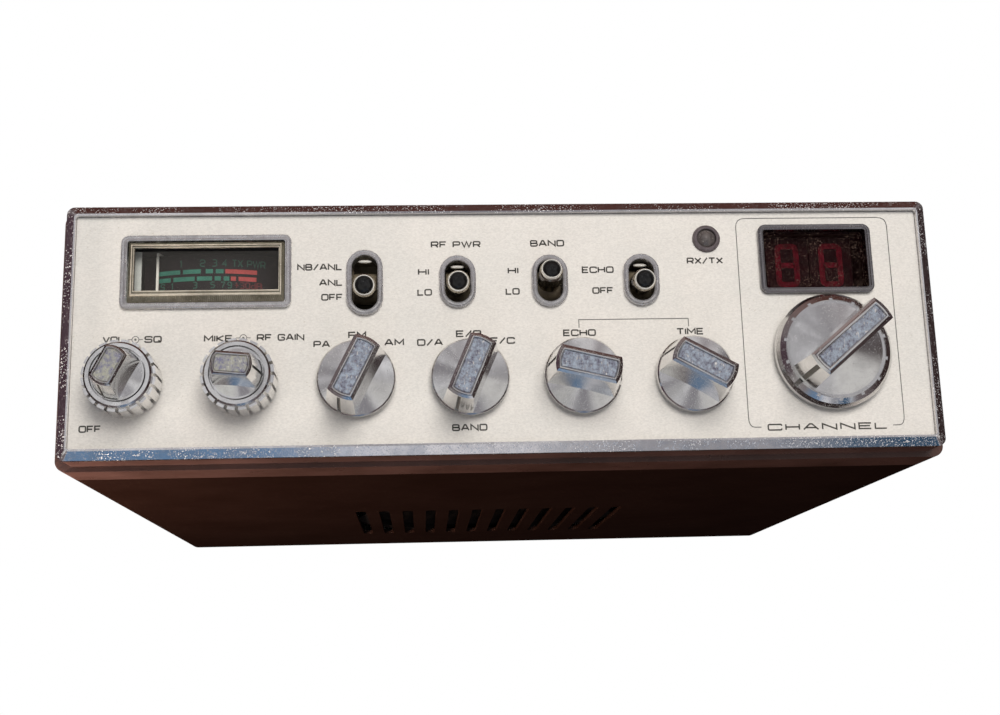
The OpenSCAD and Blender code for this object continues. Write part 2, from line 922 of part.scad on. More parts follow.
// ---- Sockets ----
module mic_socket() {
    color(steel)
    translate([-rail_x, lip_y + mic_y, mic_z])
    rotate([0, -90, 0]) {
        difference() {
            union() {
                drum(mic_r, -1.5, 5.3);
                slab(-1.5, 0) square(22, center = true);
                drum(7.4, -10, -1.5);
            }
            drum(6.6, -4.5, 5.3 + eps);
        }
        for (a = [45:90:315])
            rotate([0, 0, a]) translate([3.4, 0, 0]) drum(0.8, -4.5, 0.7);
    }
}
module antenna_socket() {
    color(satin)
    on_rear(ante_x, ante_z) {
        difference() {
            union() {
                slab(0, 1.6) square(25.4, center = true);
                drum(7.94, 1.6, 14);
                drum(ante_neck_r, -8, 0);
                drum(1.6, -12, -8);
            }
            drum(6.2, 4, 14 + eps);
        }
        difference() {
            drum(3.2, 4, 12.4);
            drum(2, 5, 14);
        }
    }
}
module power_socket() {
    color(black)
    on_rear(power_x, power_z) {
        difference() {
            union() {
                slab(-14, 0) square([power_w, power_h], center = true);
                slab(0, 2) rounded(power_w + 4, power_h + 4, 1.5);
            }
            slab(-12, 2 + eps) square([power_w - 3, power_h - 3], center = true);
        }
        for (x = [-5, 0, 5])
            translate([x, 0, 0]) drum(1, -12, -5);
    }
}
module rear_jacks() {
    color(steel)
    for (x = jack_x)
        on_rear(x, jack_z)
        difference() {
            union() {
                slab(-15.4, panel_end - case_d) square(9, center = true);
                drum(3.1, panel_end - case_d, 0);
                drum(4.6, 0, 1.6);
            }
            drum(jack_r, -13, 1.6 + eps);
        }
}

bezel_trim();
front_bezel();
front_panel();
top_cover();
bottom_cover();
side_rails();
subpanel();
rear_panel();
heat_sink();
case_screws();
bracket_nuts();
control_nuts();
switch_bezels();
switch_bodies();
potentiometers();
rotary_switches();
meter_bezel();
meter_lens();
meter_dial();
meter_housing();
meter_needle();
lamp_bezel();
lamp_lens();
display_bezel();
display_window();
digit_modules();
main_board();
tuning_cans();
capacitors();
chips();
power_transistors();
speaker_frame();
speaker_cone();
mic_socket();
antenna_socket();
power_socket();
rear_jacks();
volume_knob();
volume_shaft();
squelch_ring();
squelch_shaft();
mic_gain_knob();
mic_gain_shaft();
rf_gain_ring();
rf_gain_shaft();
mode_knob();
mode_shaft();
band_knob();
band_shaft();
echo_knob();
echo_shaft();
time_knob();
time_shaft();
channel_knob();
channel_shaft();
noise_lever();
power_lever();
band_lever();
echo_lever();
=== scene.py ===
"""Looks of the mobile transceiver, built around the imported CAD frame."""
import json
import math

import bmesh
import bpy
from mathutils import Matrix, Vector

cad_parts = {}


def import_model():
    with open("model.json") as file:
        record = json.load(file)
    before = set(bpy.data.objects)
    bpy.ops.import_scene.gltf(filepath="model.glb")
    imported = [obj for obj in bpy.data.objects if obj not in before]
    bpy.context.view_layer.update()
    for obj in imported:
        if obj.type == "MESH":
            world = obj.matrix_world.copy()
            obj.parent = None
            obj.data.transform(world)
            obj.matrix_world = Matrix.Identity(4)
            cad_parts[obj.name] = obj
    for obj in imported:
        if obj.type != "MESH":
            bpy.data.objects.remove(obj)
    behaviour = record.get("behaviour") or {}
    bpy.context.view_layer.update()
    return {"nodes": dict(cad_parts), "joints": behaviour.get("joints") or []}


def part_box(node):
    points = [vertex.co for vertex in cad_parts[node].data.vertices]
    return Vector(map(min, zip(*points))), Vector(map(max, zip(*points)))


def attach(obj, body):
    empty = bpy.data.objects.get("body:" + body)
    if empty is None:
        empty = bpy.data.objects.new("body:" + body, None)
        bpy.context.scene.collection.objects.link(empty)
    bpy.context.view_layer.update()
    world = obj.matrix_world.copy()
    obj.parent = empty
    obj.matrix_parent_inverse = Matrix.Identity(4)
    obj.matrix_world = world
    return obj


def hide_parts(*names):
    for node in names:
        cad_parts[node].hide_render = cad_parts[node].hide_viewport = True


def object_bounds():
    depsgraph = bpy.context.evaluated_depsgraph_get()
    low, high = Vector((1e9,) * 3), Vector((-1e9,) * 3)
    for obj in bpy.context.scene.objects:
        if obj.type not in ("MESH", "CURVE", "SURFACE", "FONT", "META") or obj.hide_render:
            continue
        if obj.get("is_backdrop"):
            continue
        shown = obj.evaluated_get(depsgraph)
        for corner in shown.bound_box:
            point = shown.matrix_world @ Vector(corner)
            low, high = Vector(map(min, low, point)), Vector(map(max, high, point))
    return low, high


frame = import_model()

NODES = frame["nodes"]
JOINTS = {joint["name"]: joint for joint in frame["joints"]}
MM = 0.001

# Where the panel's front face is, and the front lip
FACE_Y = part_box("front_panel")[0].y
LIP_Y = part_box("bezel_trim")[0].y


def panel_point(x, z, height=0.0):
    """A point in millimetres across and up, at a height in front of the panel's face, in metres."""
    return Vector((x * MM, FACE_Y - height * MM, z * MM))


def centre_of(node):
    """Middle of a node's box, as millimetres across and up."""
    low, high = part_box(node)
    return (low.x + high.x) / 2 / MM, (low.z + high.z) / 2 / MM


# ---------------------------------------------------------------- materials

def feed(tree, socket, value):
    """Gives a socket a plain value, or links another node's socket to it."""
    if isinstance(value, bpy.types.NodeSocket):
        tree.links.new(value, socket)
    else:
        socket.default_value = value


def mix_colours(tree, factor, first, second):
    """Mixes two colours, each a socket or a triple."""
    made = tree.nodes.new("ShaderNodeMix")
    made.data_type = "RGBA"
    tree.links.new(factor, made.inputs["Factor"])
    for place, value in ((6, first), (7, second)):
        feed(tree, made.inputs[place], value if isinstance(value, bpy.types.NodeSocket) else (*value, 1))
    return made.outputs[2]


def map_range(tree, value, limits, targets=(0.0, 1.0), kind="LINEAR"):
    """Maps a value between two limits to a value between two targets, clamped."""
    made = tree.nodes.new("ShaderNodeMapRange")
    made.interpolation_type = kind
    feed(tree, made.inputs["Value"], value)
    for key, number in zip(("From Min", "From Max", "To Min", "To Max"), (*limits, *targets)):
        made.inputs[key].default_value = number
    return made.outputs["Result"]


class Shader:
    """A small helper that adds nodes to one material's tree."""

    def __init__(self, name):
        self.material = bpy.data.materials.new(name)
        self.material.use_nodes = True
        self.tree = self.material.node_tree
        self.bsdf = self.tree.nodes["Principled BSDF"]
        self.place = self.tree.nodes.new("ShaderNodeTexCoord").outputs["Object"]

    def node(self, kind, **inputs):
        made = self.tree.nodes.new(kind)
        for key, value in inputs.items():
            feed(self.tree, made.inputs[key], value)
        return made

    def stretched(self, scale):
        """Object coordinates, in millimetres, stretched along the axes."""
        made = self.node("ShaderNodeMapping", Vector=self.place)
        made.inputs["Scale"].default_value = [1000 * s for s in scale]
        return made.outputs["Vector"]

    def noise(self, size, detail=4.0, stretch=(1, 1, 1), roughness=0.6):
        """Noise with features of a size in millimetres."""
        made = self.node("ShaderNodeTexNoise", Vector=self.stretched(stretch), Scale=1 / size,
                         Detail=detail, Roughness=roughness)
        return made.outputs["Fac"]

    def ramp(self, value, low, high, start=0.0, end=1.0):
        return map_range(self.tree, value, (low, high), (start, end))

    def maths(self, operation, *values):
        made = self.tree.nodes.new("ShaderNodeMath")
        made.operation = operation
        for socket, value in zip(made.inputs, values):
            feed(self.tree, socket, value)
        return made.outputs[0]

    def times(self, a, b):
        return self.maths("MULTIPLY", a, b)

    def plus(self, a, b):
        return self.maths("ADD", a, b)

    def mix(self, factor, first, second):
        return mix_colours(self.tree, factor, first, second)

    def set(self, key, value):
        feed(self.tree, self.bsdf.inputs[key], value)

    def bump(self, value, depth, strength=1.0):
        """Height in millimetres as a bump."""
        made = self.node("ShaderNodeBump", Height=value, Strength=strength)
        made.inputs["Distance"].default_value = depth * MM
        self.tree.links.new(made.outputs["Normal"], self.bsdf.inputs["Normal"])


def finish(name, colour, second=None, metallic=0.0, rough=(0.4, 0.6), mottle=8.0, grain=0.15,
           depth=0.01, stretch=(1, 1, 1), specks=0.0, speck_colour=(0.6, 0.56, 0.5), speck_size=0.35,
           coat=0.0, specular=0.5, grainy=0.0):
    """A finish with mottled colour, uneven gloss, a fine grain and specks of dust or wear."""
    shader = Shader(name)
    second = second or tuple(c * 0.8 for c in colour)
    blotch = shader.noise(mottle)
    base = shader.mix(shader.ramp(blotch, 0.35, 0.65), colour, second)
    fine = shader.noise(grain, 2.0, stretch)
    if grainy:
        darker = shader.ramp(fine, 0.35, 0.65, 0.0, grainy)
        base = shader.mix(darker, base, tuple(c * 0.25 for c in colour))
    gloss = shader.ramp(shader.noise(mottle / 3), 0.3, 0.7, *rough)
    shader.set("Metallic", metallic)
    if specks:
        dust = shader.ramp(shader.noise(speck_size, 3.0), 0.74 - specks, 0.78 - specks)
        patchy = shader.times(dust, shader.ramp(blotch, 0.3, 0.6, 0.25, 1.0))
        base = shader.mix(patchy, base, speck_colour)
        gloss = shader.plus(gloss, shader.times(patchy, 0.4))
        if metallic:
            shader.set("Metallic", shader.ramp(patchy, 0.0, 1.0, metallic, 0.2))
    shader.set("Base Color", base)
    shader.set("Roughness", gloss)
    shader.set("Coat Weight", coat)
    shader.set("Specular IOR Level", specular)
    shader.bump(fine, depth)
    return shader.material


def chrome(name, tint=(0.78, 0.77, 0.76), rough=(0.10, 0.22), specks=0.08, pit=0.02, speck_size=0.3,
           mottle=5.0, fleck=(0.62, 0.60, 0.57), metallic=1.0):
    """Old chrome plating: bright, hazed in patches, with pits."""
    shader = Shader(name)
    blotch = shader.noise(mottle)
    pits = shader.ramp(shader.noise(speck_size, 3.0), 0.72 - specks, 0.80 - specks)
    pits = shader.times(pits, shader.ramp(shader.noise(9.0, 3.0), 0.38, 0.60, 0.12, 1.0))
    haze = shader.ramp(blotch, 0.35, 0.7, *rough)
    dull = tuple(c * 0.86 for c in tint)
    base = shader.mix(shader.ramp(blotch, 0.4, 0.65), tint, dull)
    shader.set("Base Color", shader.mix(pits, base, fleck))
    shader.set("Metallic", shader.ramp(pits, 0.0, 1.0, metallic, 0.3))
    shader.set("Roughness", shader.plus(haze, shader.times(pits, 0.35)))
    shader.bump(shader.plus(pits, shader.times(shader.noise(0.8, 2.0), 0.35)), -pit)
    return shader.material


def satin(name, light, dark, fleck):
    """Etched satin plate, worn in dark and light blotches and scratched."""
    shader = Shader(name)
    blotch = shader.noise(1.3, 6.0, roughness=0.75)
    scratch = shader.ramp(shader.noise(0.35, 3.0, (1, 1, 0.35)), 0.60, 0.68)
    base = shader.mix(shader.ramp(blotch, 0.38, 0.60), dark, light)
    shader.set("Base Color", shader.mix(scratch, base, fleck))
    shader.set("Metallic", shader.ramp(scratch, 0.0, 1.0, 1.0, 0.6))
    shader.set("Roughness", shader.ramp(blotch, 0.35, 0.65, 0.24, 0.46))
    shader.bump(shader.plus(blotch, scratch), 0.03)
    return shader.material


def see_through(name, colour, alpha, rough=0.08, specks=0.0, speck_colour=(0.5, 0.46, 0.42), thick=0.9,
                specular=0.25):
    """A thin clear or tinted pane, with dust on it."""
    shader = Shader(name)
    haze = shader.noise(3.0)
    shader.set("Roughness", shader.ramp(haze, 0.3, 0.7, rough, rough + 0.15))
    if specks:
        dust = shader.ramp(shader.noise(0.32, 3.0), 0.70 - specks, 0.76 - specks)
        dust = shader.times(dust, shader.ramp(shader.noise(7.0, 2.0), 0.36, 0.60, 0.15, 1.0))
        shader.set("Base Color", shader.mix(dust, colour, speck_colour))
        shader.set("Alpha", shader.ramp(dust, 0.0, 1.0, alpha, thick))
    else:
        shader.set("Base Color", shader.mix(haze, colour, tuple(0.85 * c for c in colour)))
        shader.set("Alpha", alpha)
    shader.set("Specular IOR Level", specular)
    shader.bump(haze, 0.01)
    return shader.material


LIP_CHROME = chrome("lip_chrome", (0.80, 0.78, 0.78), (0.06, 0.18), 0.15, 0.015, 0.38, 4.0,
                    (0.80, 0.80, 0.80))
FRAME_CHROME = chrome("frame_chrome", (0.80, 0.78, 0.77), (0.22, 0.40), 0.13, 0.04, 0.25, 1.2)
DARK_CHROME = chrome("dark_chrome", (0.30, 0.285, 0.29), (0.16, 0.32), 0.09, 0.02, 0.25,
                     fleck=(0.34, 0.33, 0.32))
KNOB_CHROME = chrome("knob_chrome", (0.80, 0.79, 0.78), (0.09, 0.22), 0.105, 0.012, 0.22, 5.0)
# Darkened chrome of the levers: painted shade on their side walls below the bright collars, and the dark
# metal of their barrels
SHADED_LEVER_CHROME = chrome("lever_chrome_shaded", (0.42, 0.38, 0.31), (0.12, 0.24), 0.04, 0.01, 0.25, 3.0)
# Bright cream, part-diffuse chrome of the levers' collars and of the rods in the slots: a painted highlight,
# lighter than the levers' own chrome
HIGHLIGHT_CHROME = chrome("lever_collar_highlight", (0.93, 0.90, 0.82), (0.08, 0.16), 0.03, 0.01, 0.25, 3.0, metallic=0.55)
INLAY = satin("knob_inlay", (0.80, 0.90, 1.0), (0.30, 0.29, 0.36), (0.95, 0.93, 0.90))
PALE_INLAY = satin("knob_inlay_pale", (0.90, 0.89, 0.72), (0.40, 0.39, 0.52), (0.98, 0.97, 0.93))
CASE_PAINT = finish("case_paint", (0.0125, 0.0048, 0.0030), (0.017, 0.0070, 0.0047), rough=(0.58, 0.66),
                    mottle=30, grain=0.25, depth=0.02, specks=0.085, speck_colour=(0.11, 0.065, 0.045),
                    specular=0.14, grainy=0.5)
BEZEL_GLOSS = finish("bezel_gloss", (0.090, 0.044, 0.035), (0.050, 0.023, 0.017), rough=(0.25, 0.42),
                     mottle=20, grain=0.4, depth=0.008, specks=0.06, speck_colour=(0.30, 0.20, 0.17))
PANEL = finish("brushed_panel", (0.735, 0.705, 0.655), (0.690, 0.672, 0.628), metallic=0.10,
               rough=(0.42, 0.55), mottle=22, grain=0.28, depth=0.003, stretch=(0.55, 1, 1), specks=0.055,
               speck_colour=(0.48, 0.43, 0.34), speck_size=0.4, grainy=0.17)
STEEL = finish("zinc_sheet", (0.48, 0.47, 0.43), (0.40, 0.39, 0.36), metallic=0.9, rough=(0.3, 0.45),
               mottle=12, grain=0.5, depth=0.01, specks=0.03)
ANODISED = finish("black_anodised", (0.022, 0.022, 0.023), (0.032, 0.031, 0.03), metallic=0.5,
                  rough=(0.4, 0.6), mottle=15, grain=0.3, depth=0.012, stretch=(1, 1, 0.1), specks=0.05,
                  speck_colour=(0.18, 0.17, 0.16))
SCREW = finish("blackened_screw", (0.03, 0.03, 0.03), (0.06, 0.055, 0.05), metallic=0.8, rough=(0.3, 0.5),
               mottle=2, grain=0.2)
BRASS = finish("turned_brass", (0.62, 0.46, 0.20), (0.48, 0.35, 0.15), metallic=1.0, rough=(0.25, 0.4),
               mottle=4, grain=0.3)
PHENOLIC = finish("phenolic", (0.20, 0.075, 0.035), (0.15, 0.05, 0.025), rough=(0.5, 0.7), mottle=3)
BRONZE = finish("dark_bronze", (0.26, 0.22, 0.15), (0.14, 0.11, 0.075), metallic=0.3, rough=(0.25, 0.40),
                mottle=3, grain=0.3, specks=0.04, speck_colour=(0.4, 0.36, 0.28))
BLACK_PLASTIC = finish("black_plastic", (0.018, 0.018, 0.019), (0.026, 0.025, 0.025), rough=(0.45, 0.65),
                       mottle=6, specks=0.04, speck_colour=(0.10, 0.095, 0.09))
LEVER_BLACK = finish("lever_black", (0.005, 0.005, 0.005), (0.008, 0.008, 0.008), rough=(0.08, 0.16),
                     mottle=2, grain=0.3, depth=0.004, specks=0.03, speck_colour=(0.12, 0.12, 0.12),
                     specular=0.35)
DIAL = finish("dial_black", (0.006, 0.004, 0.005), (0.013, 0.008, 0.009), rough=(0.45, 0.6), mottle=4,
              specks=0.06, speck_colour=(0.045, 0.040, 0.040))
DIAL_GREEN = finish("dial_green", (0.036, 0.165, 0.115), (0.026, 0.12, 0.085), rough=(0.5, 0.6), mottle=2)
DIAL_PALE_GREEN = finish("dial_pale_green", (0.026, 0.085, 0.060), (0.018, 0.065, 0.046),
                         rough=(0.5, 0.6), mottle=1)
DIAL_RED = finish("dial_red", (0.36, 0.060, 0.055), (0.27, 0.045, 0.04), rough=(0.5, 0.6), mottle=2)
DIAL_DARK_RED = finish("dial_dark_red", (0.11, 0.018, 0.020), (0.08, 0.012, 0.014),
                       rough=(0.5, 0.6), mottle=1)
NEEDLE = finish("needle_white", (0.80, 0.78, 0.70), (0.72, 0.70, 0.62), rough=(0.4, 0.5), mottle=2)
LIGHT_GUIDE = finish("light_guide", (0.52, 0.54, 0.50), (0.42, 0.44, 0.41), rough=(0.3, 0.5), mottle=3)
LEGEND = finish("legend_ink", (0.040, 0.038, 0.034), (0.070, 0.066, 0.058), rough=(0.5, 0.65), mottle=1.5,
                specks=0.02, speck_colour=(0.3, 0.29, 0.27), speck_size=0.2)
RULE = finish("rule_ink", (0.11, 0.11, 0.105), (0.15, 0.15, 0.14), rough=(0.5, 0.65), mottle=1.5)
SEGMENT = finish("display_segment", (0.23, 0.002, 0.018), (0.10, 0.0015, 0.007),
                 rough=(0.4, 0.6), mottle=1.2, grain=0.2, specks=0.04, speck_colour=(0.05, 0.004, 0.01),
                 speck_size=0.25)
DISPLAY_BODY = finish("display_body", (0.016, 0.002, 0.003), (0.030, 0.003, 0.005),
                      rough=(0.5, 0.7), mottle=2)
BOARD = finish("board_green", (0.035, 0.12, 0.045), (0.03, 0.10, 0.04), rough=(0.35, 0.5), mottle=10)
CAN = finish("drawn_can", (0.66, 0.66, 0.64), (0.58, 0.58, 0.56), metallic=1.0, rough=(0.25, 0.4), mottle=5)
SLEEVE = finish("capacitor_sleeve", (0.015, 0.025, 0.09), rough=(0.25, 0.35), mottle=4)
PAPER = finish("cone_paper", (0.016, 0.011, 0.009), (0.024, 0.017, 0.014), rough=(0.8, 0.95), mottle=3,
               grain=0.35, depth=0.05, specular=0.1)
BASKET = finish("speaker_basket", (0.012, 0.009, 0.008), (0.018, 0.014, 0.012), rough=(0.7, 0.85), mottle=8,
                specular=0.1)
LENS = see_through("meter_clear", (0.60, 0.58, 0.54), 0.02, 0.03, 0.02, (0.35, 0.32, 0.28), 0.35, 0.07)
MARGIN = finish("lens_margin", (0.17, 0.155, 0.115), (0.095, 0.085, 0.06), rough=(0.10, 0.25), mottle=2.5,
                grain=0.3, specks=0.08, speck_colour=(0.45, 0.42, 0.34), coat=0.6)
# Lighter copy of the lens margin's plastic: a painted highlight along the lens's raised ledge and rim
LEDGE_HIGHLIGHT = finish("lens_ledge", (0.52, 0.47, 0.38), (0.36, 0.32, 0.25), rough=(0.2, 0.35), mottle=4,
               grain=0.3, specks=0.06, speck_colour=(0.75, 0.70, 0.60), coat=0.4)
WINDOW = see_through("display_red", (0.004, 0.0006, 0.001), 0.26, 0.05, 0.108, (0.20, 0.14, 0.11), 0.85, 0.02)
LAMP = finish("lamp_smoke", (0.060, 0.052, 0.050), (0.11, 0.095, 0.09), rough=(0.16, 0.3), mottle=1.0,
              specks=0.10, speck_colour=(0.26, 0.24, 0.22), coat=0.4)
LAMP_RING = finish("lamp_ring", (0.20, 0.17, 0.175), (0.15, 0.125, 0.13), metallic=0.6, rough=(0.35, 0.5),
                   mottle=1.5, specks=0.05)

CAD_FINISH = {
    "bezel_trim": LIP_CHROME, "front_bezel": BEZEL_GLOSS, "front_panel": PANEL, "top_cover": CASE_PAINT,
    "bottom_cover": CASE_PAINT, "side_rails": STEEL, "subpanel": STEEL, "rear_panel": STEEL,
    "heat_sink": ANODISED, "case_screws": SCREW, "bracket_nuts": BRASS, "control_nuts": FRAME_CHROME,
    "switch_bezels": FRAME_CHROME, "switch_bodies": BRONZE, "potentiometers": CAN,
    "rotary_switches": PHENOLIC, "meter_bezel": FRAME_CHROME, "meter_lens": LENS, "meter_dial": DIAL,
    "meter_housing": BLACK_PLASTIC, "meter_needle": NEEDLE, "lamp_bezel": LAMP_RING, "lamp_lens": LAMP,
    "display_bezel": DARK_CHROME, "display_window": WINDOW, "digit_modules": DISPLAY_BODY,
    "main_board": BOARD, "tuning_cans": CAN, "capacitors": SLEEVE, "chips": BLACK_PLASTIC,
    "power_transistors": BLACK_PLASTIC, "speaker_frame": BASKET, "speaker_cone": PAPER,
    "mic_socket": FRAME_CHROME, "antenna_socket": FRAME_CHROME, "power_socket": BLACK_PLASTIC,
    "rear_jacks": FRAME_CHROME,
}
for node_name, cad_object in NODES.items():
    if node_name in CAD_FINISH:
        chosen = CAD_FINISH[node_name]
    elif node_name.endswith("_shaft"):
        chosen = STEEL
    elif node_name.endswith("_lever"):
        chosen = SHADED_LEVER_CHROME
    else:
        chosen = KNOB_CHROME
    if not cad_object.material_slots:
        cad_object.data.materials.append(chosen)
    for material_slot in cad_object.material_slots:
        material_slot.material = chosen


# ---------------------------------------------------------------- edges of the CAD nodes

def soften(node, width, angle=28):
    """Rounds a CAD node's sharp edges by a width in millimetres, as moulding and plating do."""
    cad_object = NODES[node]
    weld = cad_object.modifiers.new("join", "WELD")
    weld.merge_threshold = 0.002 * MM
    bevel = cad_object.modifiers.new("round", "BEVEL")
    bevel.width = width * MM
    bevel.segments = 2
    bevel.limit_method = "ANGLE"
    bevel.angle_limit = math.radians(angle)
    bevel.miter_outer = "MITER_ARC"
    bevel.use_clamp_overlap = True
    normals = cad_object.modifiers.new("shade", "WEIGHTED_NORMAL")
    normals.weight = 80


# ---------------------------------------------------------------- mesh helpers

def piece(name, vertices, faces, material, body, smooth=False):
    """A mesh object that rides on a body."""
    mesh = bpy.data.meshes.new(name)
    mesh.from_pydata([tuple(v) for v in vertices], [], faces)
    mesh.validate()
    mesh.update()
    mesh.materials.append(material)
    made = bpy.data.objects.new(name, mesh)
    bpy.context.scene.collection.objects.link(made)
    if smooth:
        for polygon in mesh.polygons:
            polygon.use_smooth = True
    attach(made, body)
    return made


# Faces of a box whose corners are counted along x, then y, then z, with z the fastest
BOX_FACES = ((0, 1, 3, 2), (4, 6, 7, 5), (0, 4, 5, 1), (2, 3, 7, 6), (0, 2, 6, 4), (1, 5, 7, 3))


def axes_of(direction):
    """Two unit vectors square to a direction."""
    direction = direction.normalized()
    side = direction.cross(Vector((0, 0, 1)))
    if side.length < 0.1:
        side = direction.cross(Vector((1, 0, 0)))
    side.normalize()
    return side, side.cross(direction).normalized()


def lathe(name, profile, origin, direction, material, body, around=48):
    """Turns a profile of (radius, height) in millimetres round a line through origin."""
    side, other = axes_of(direction)
    along = direction.normalized()
    vertices, faces, rings = [], [], []
    for radius, height in profile:
        ring = []
        count = 1 if radius == 0 else around
        for i in range(count):
            a = 2 * math.pi * i / around
            ring.append(len(vertices))
            vertices.append(origin + (side * math.cos(a) + other * math.sin(a)) * radius * MM
                            + along * height * MM)
        rings.append(ring)
    for low, high in zip(rings, rings[1:]):
        for i in range(around):
            j = (i + 1) % around
            if len(low) == 1 and len(high) > 1:
                faces.append((low[0], high[i], high[j]))
            elif len(high) == 1 and len(low) > 1:
                faces.append((low[i], high[0], low[j]))
            elif len(low) > 1:
                faces.append((low[i], high[i], high[j], low[j]))
    made = piece(name, vertices, faces, material, body, smooth=True)
    outward(made)
    return made


def outward(made):
    """Makes the faces of a mesh look outwards."""
    work = bmesh.new()
    work.from_mesh(made.data)
    bmesh.ops.recalc_face_normals(work, faces=work.faces)
    work.to_mesh(made.data)
    work.free()


# ---------------------------------------------------------------- strokes: legends, print and segments

def rounded_line(points, radius, closed=False):
    """A polyline with its corners rounded off."""
    count = len(points)
    out = []
    for i, (x, y) in enumerate(points):
        if not closed and i in (0, count - 1):
            out.append((x, y))
            continue
        before, after = points[i - 1], points[(i + 1) % count]
        ends = []
        for px, py in (before, after):
            length = math.hypot(px - x, py - y)
            cut = min(radius, length / 2) / length
            ends.append((x + (px - x) * cut, y + (py - y) * cut))
        for k in range(5):
            t = k / 4
            out.append(tuple((1 - t) ** 2 * a + 2 * t * (1 - t) * b + t * t * c
                             for a, b, c in zip(ends[0], (x, y), ends[1])))
    return out


class Strokes:
    """Collects flat strokes of ink or of a display, as thin closed solids on a surface."""

    def __init__(self, to_surface, thickness=0.03):
        self.to_surface = to_surface
        self.thickness = thickness
        self.vertices = []
        self.faces = []

    def line(self, points, width, closed=False):
        clean = [points[0]]
        for p in points[1:]:
            if math.dist(p, clean[-1]) > 1e-4:
                clean.append(p)
        if closed and math.dist(clean[0], clean[-1]) < 1e-4:
            clean.pop()
        count = len(clean)
        first = len(self.vertices)
        for i, (x, y) in enumerate(clean):
            before = clean[i - 1] if (i > 0 or closed) else None
            after = clean[(i + 1) % count] if (i < count - 1 or closed) else None
            directions = []
            if before:
                directions.append(Vector((x - before[0], y - before[1])).normalized())
            if after:
                directions.append(Vector((after[0] - x, after[1] - y)).normalized())
            mean = sum(directions, Vector((0, 0))).normalized()
            normal = Vector((-mean.y, mean.x))
            sharp = abs(normal.dot(Vector((-directions[0].y, directions[0].x))))
            reach = width / 2 / max(sharp, 0.5)
            for side in (1, -1):
                for height in (self.thickness, 0):
                    self.vertices.append(self.to_surface(x + normal.x * reach * side,
                                                         y + normal.y * reach * side, height))
        spans = range(count if closed else count - 1)
        for i in spans:
            a = first + 4 * i
            b = first + 4 * ((i + 1) % count)
            # Each point has: left top, left bottom, right top, right bottom
            self.faces += [(a, b, b + 2, a + 2), (a + 1, a + 3, b + 3, b + 1),
                           (a, a + 1, b + 1, b), (a + 2, b + 2, b + 3, a + 3)]
        if not closed:
            last = first + 4 * (count - 1)
            self.faces += [(first, first + 2, first + 3, first + 1), (last, last + 1, last + 3, last + 2)]

    def make(self, name, material, body):
        made = piece(name, self.vertices, self.faces, material, body)
        outward(made)
        return made


# Letters in a unit box: width, then strokes; a stroke whose first item is "round" has rounded corners
STEM = [(0, 0), (0, 1)]
RING = ["round", (0.5, 1), (1, 1), (1, 0), (0, 0), (0, 1), (0.5, 1)]
BOWL = ["round", (0, 1), (1, 1), (1, 0.42), (0, 0.42)]
GLYPHS = {
    "A": (1.1, [(0, 0), (0.42, 1), (0.58, 1), (1, 0)], [(0.15, 0.33), (0.85, 0.33)]),
    "B": (1.0, STEM, ["round", (0, 1), (0.93, 1), (0.93, 0.52), (0, 0.52)],
          ["round", (0, 0.52), (1, 0.52), (1, 0), (0, 0)]),
    "C": (1.0, ["round", (1, 0.72), (1, 1), (0, 1), (0, 0), (1, 0), (1, 0.28)]),
    "D": (1.0, STEM, ["round", (0, 1), (1, 1), (1, 0), (0, 0)]),
    "E": (0.9, [(1, 1), (0, 1), (0, 0), (1, 0)], [(0, 0.5), (0.9, 0.5)]),
    "F": (0.9, [(1, 1), (0, 1), (0, 0)], [(0, 0.48), (0.88, 0.48)]),
    "G": (1.0, ["round", (1, 0.75), (1, 1), (0, 1), (0, 0), (1, 0), (1, 0.48), (0.5, 0.48)]),
    "H": (1.0, STEM, [(1, 0), (1, 1)], [(0, 0.5), (1, 0.5)]),
    "I": (0.0, STEM),
    "K": (0.95, STEM, [(1, 1), (0.12, 0.5), (1, 0)]),
    "L": (0.85, [(0, 1), (0, 0), (1, 0)]),
    "M": (1.15, [(0, 0), (0, 1), (0.5, 0.3), (1, 1), (1, 0)]),
    "N": (1.05, [(0, 0), (0, 1), (1, 0), (1, 1)]),
    "O": (1.05, RING),
    "P": (1.0, STEM, BOWL),
    "Q": (1.05, RING, [(0.62, 0.3), (1, 0)]),
    "R": (1.0, STEM, BOWL, [(0.6, 0.42), (1, 0)]),
    "S": (1.0, ["round", (1, 0.76), (1, 1), (0, 1), (0, 0.5), (1, 0.5), (1, 0), (0, 0), (0, 0.24)]),
    "T": (1.0, [(0, 1), (1, 1)], [(0.5, 1), (0.5, 0)]),
    "V": (1.05, [(0, 1), (0.5, 0), (1, 1)]),
    "W": (1.5, [(0, 1), (0.26, 0), (0.5, 1), (0.74, 0), (1, 1)]),
    "X": (1.0, [(0, 0), (1, 1)], [(0, 1), (1, 0)]),
    "0": (0.8, RING),
    "1": (0.3, [(0, 0.8), (1, 1), (1, 0)]),
    "2": (0.8, ["round", (0, 0.75), (0, 1), (1, 1), (1, 0.5), (0, 0.5), (0, 0), (1, 0)]),
    "3": (0.8, ["round", (0, 1), (1, 1), (1, 0.52), (0.3, 0.52)],
          ["round", (0.3, 0.52), (1, 0.52), (1, 0), (0, 0)]),
    "4": (0.8, [(0.75, 0), (0.75, 1), (0, 0.3), (1, 0.3)]),
    "5": (0.8, ["round", (1, 1), (0, 1), (0, 0.55), (1, 0.55), (1, 0), (0, 0)]),
    "7": (0.8, [(0, 1), (1, 1), (0.4, 0)]),
    "9": (0.8, ["round", (1, 0.45), (0, 0.45), (0, 1), (1, 1), (1, 0), (0, 0)]),
    "d": (0.8, [(1, 1), (1, 0)], ["round", (1, 0), (0, 0), (0, 0.6), (1, 0.6)]),
    "+": (0.7, [(0, 0.5), (1, 0.5)], [(0.5, 0.1), (0.5, 0.9)]),
    "/": (0.75, [(0, -0.05), (1, 1.05)]),
    " ": (0.5,),
}


def circle(x, z, radius, step):
    """Points round a centre, one every step degrees."""
    angles = [math.radians(a) for a in range(0, 360, step)]
    return [(x + radius * math.cos(a), z + radius * math.sin(a)) for a in angles]


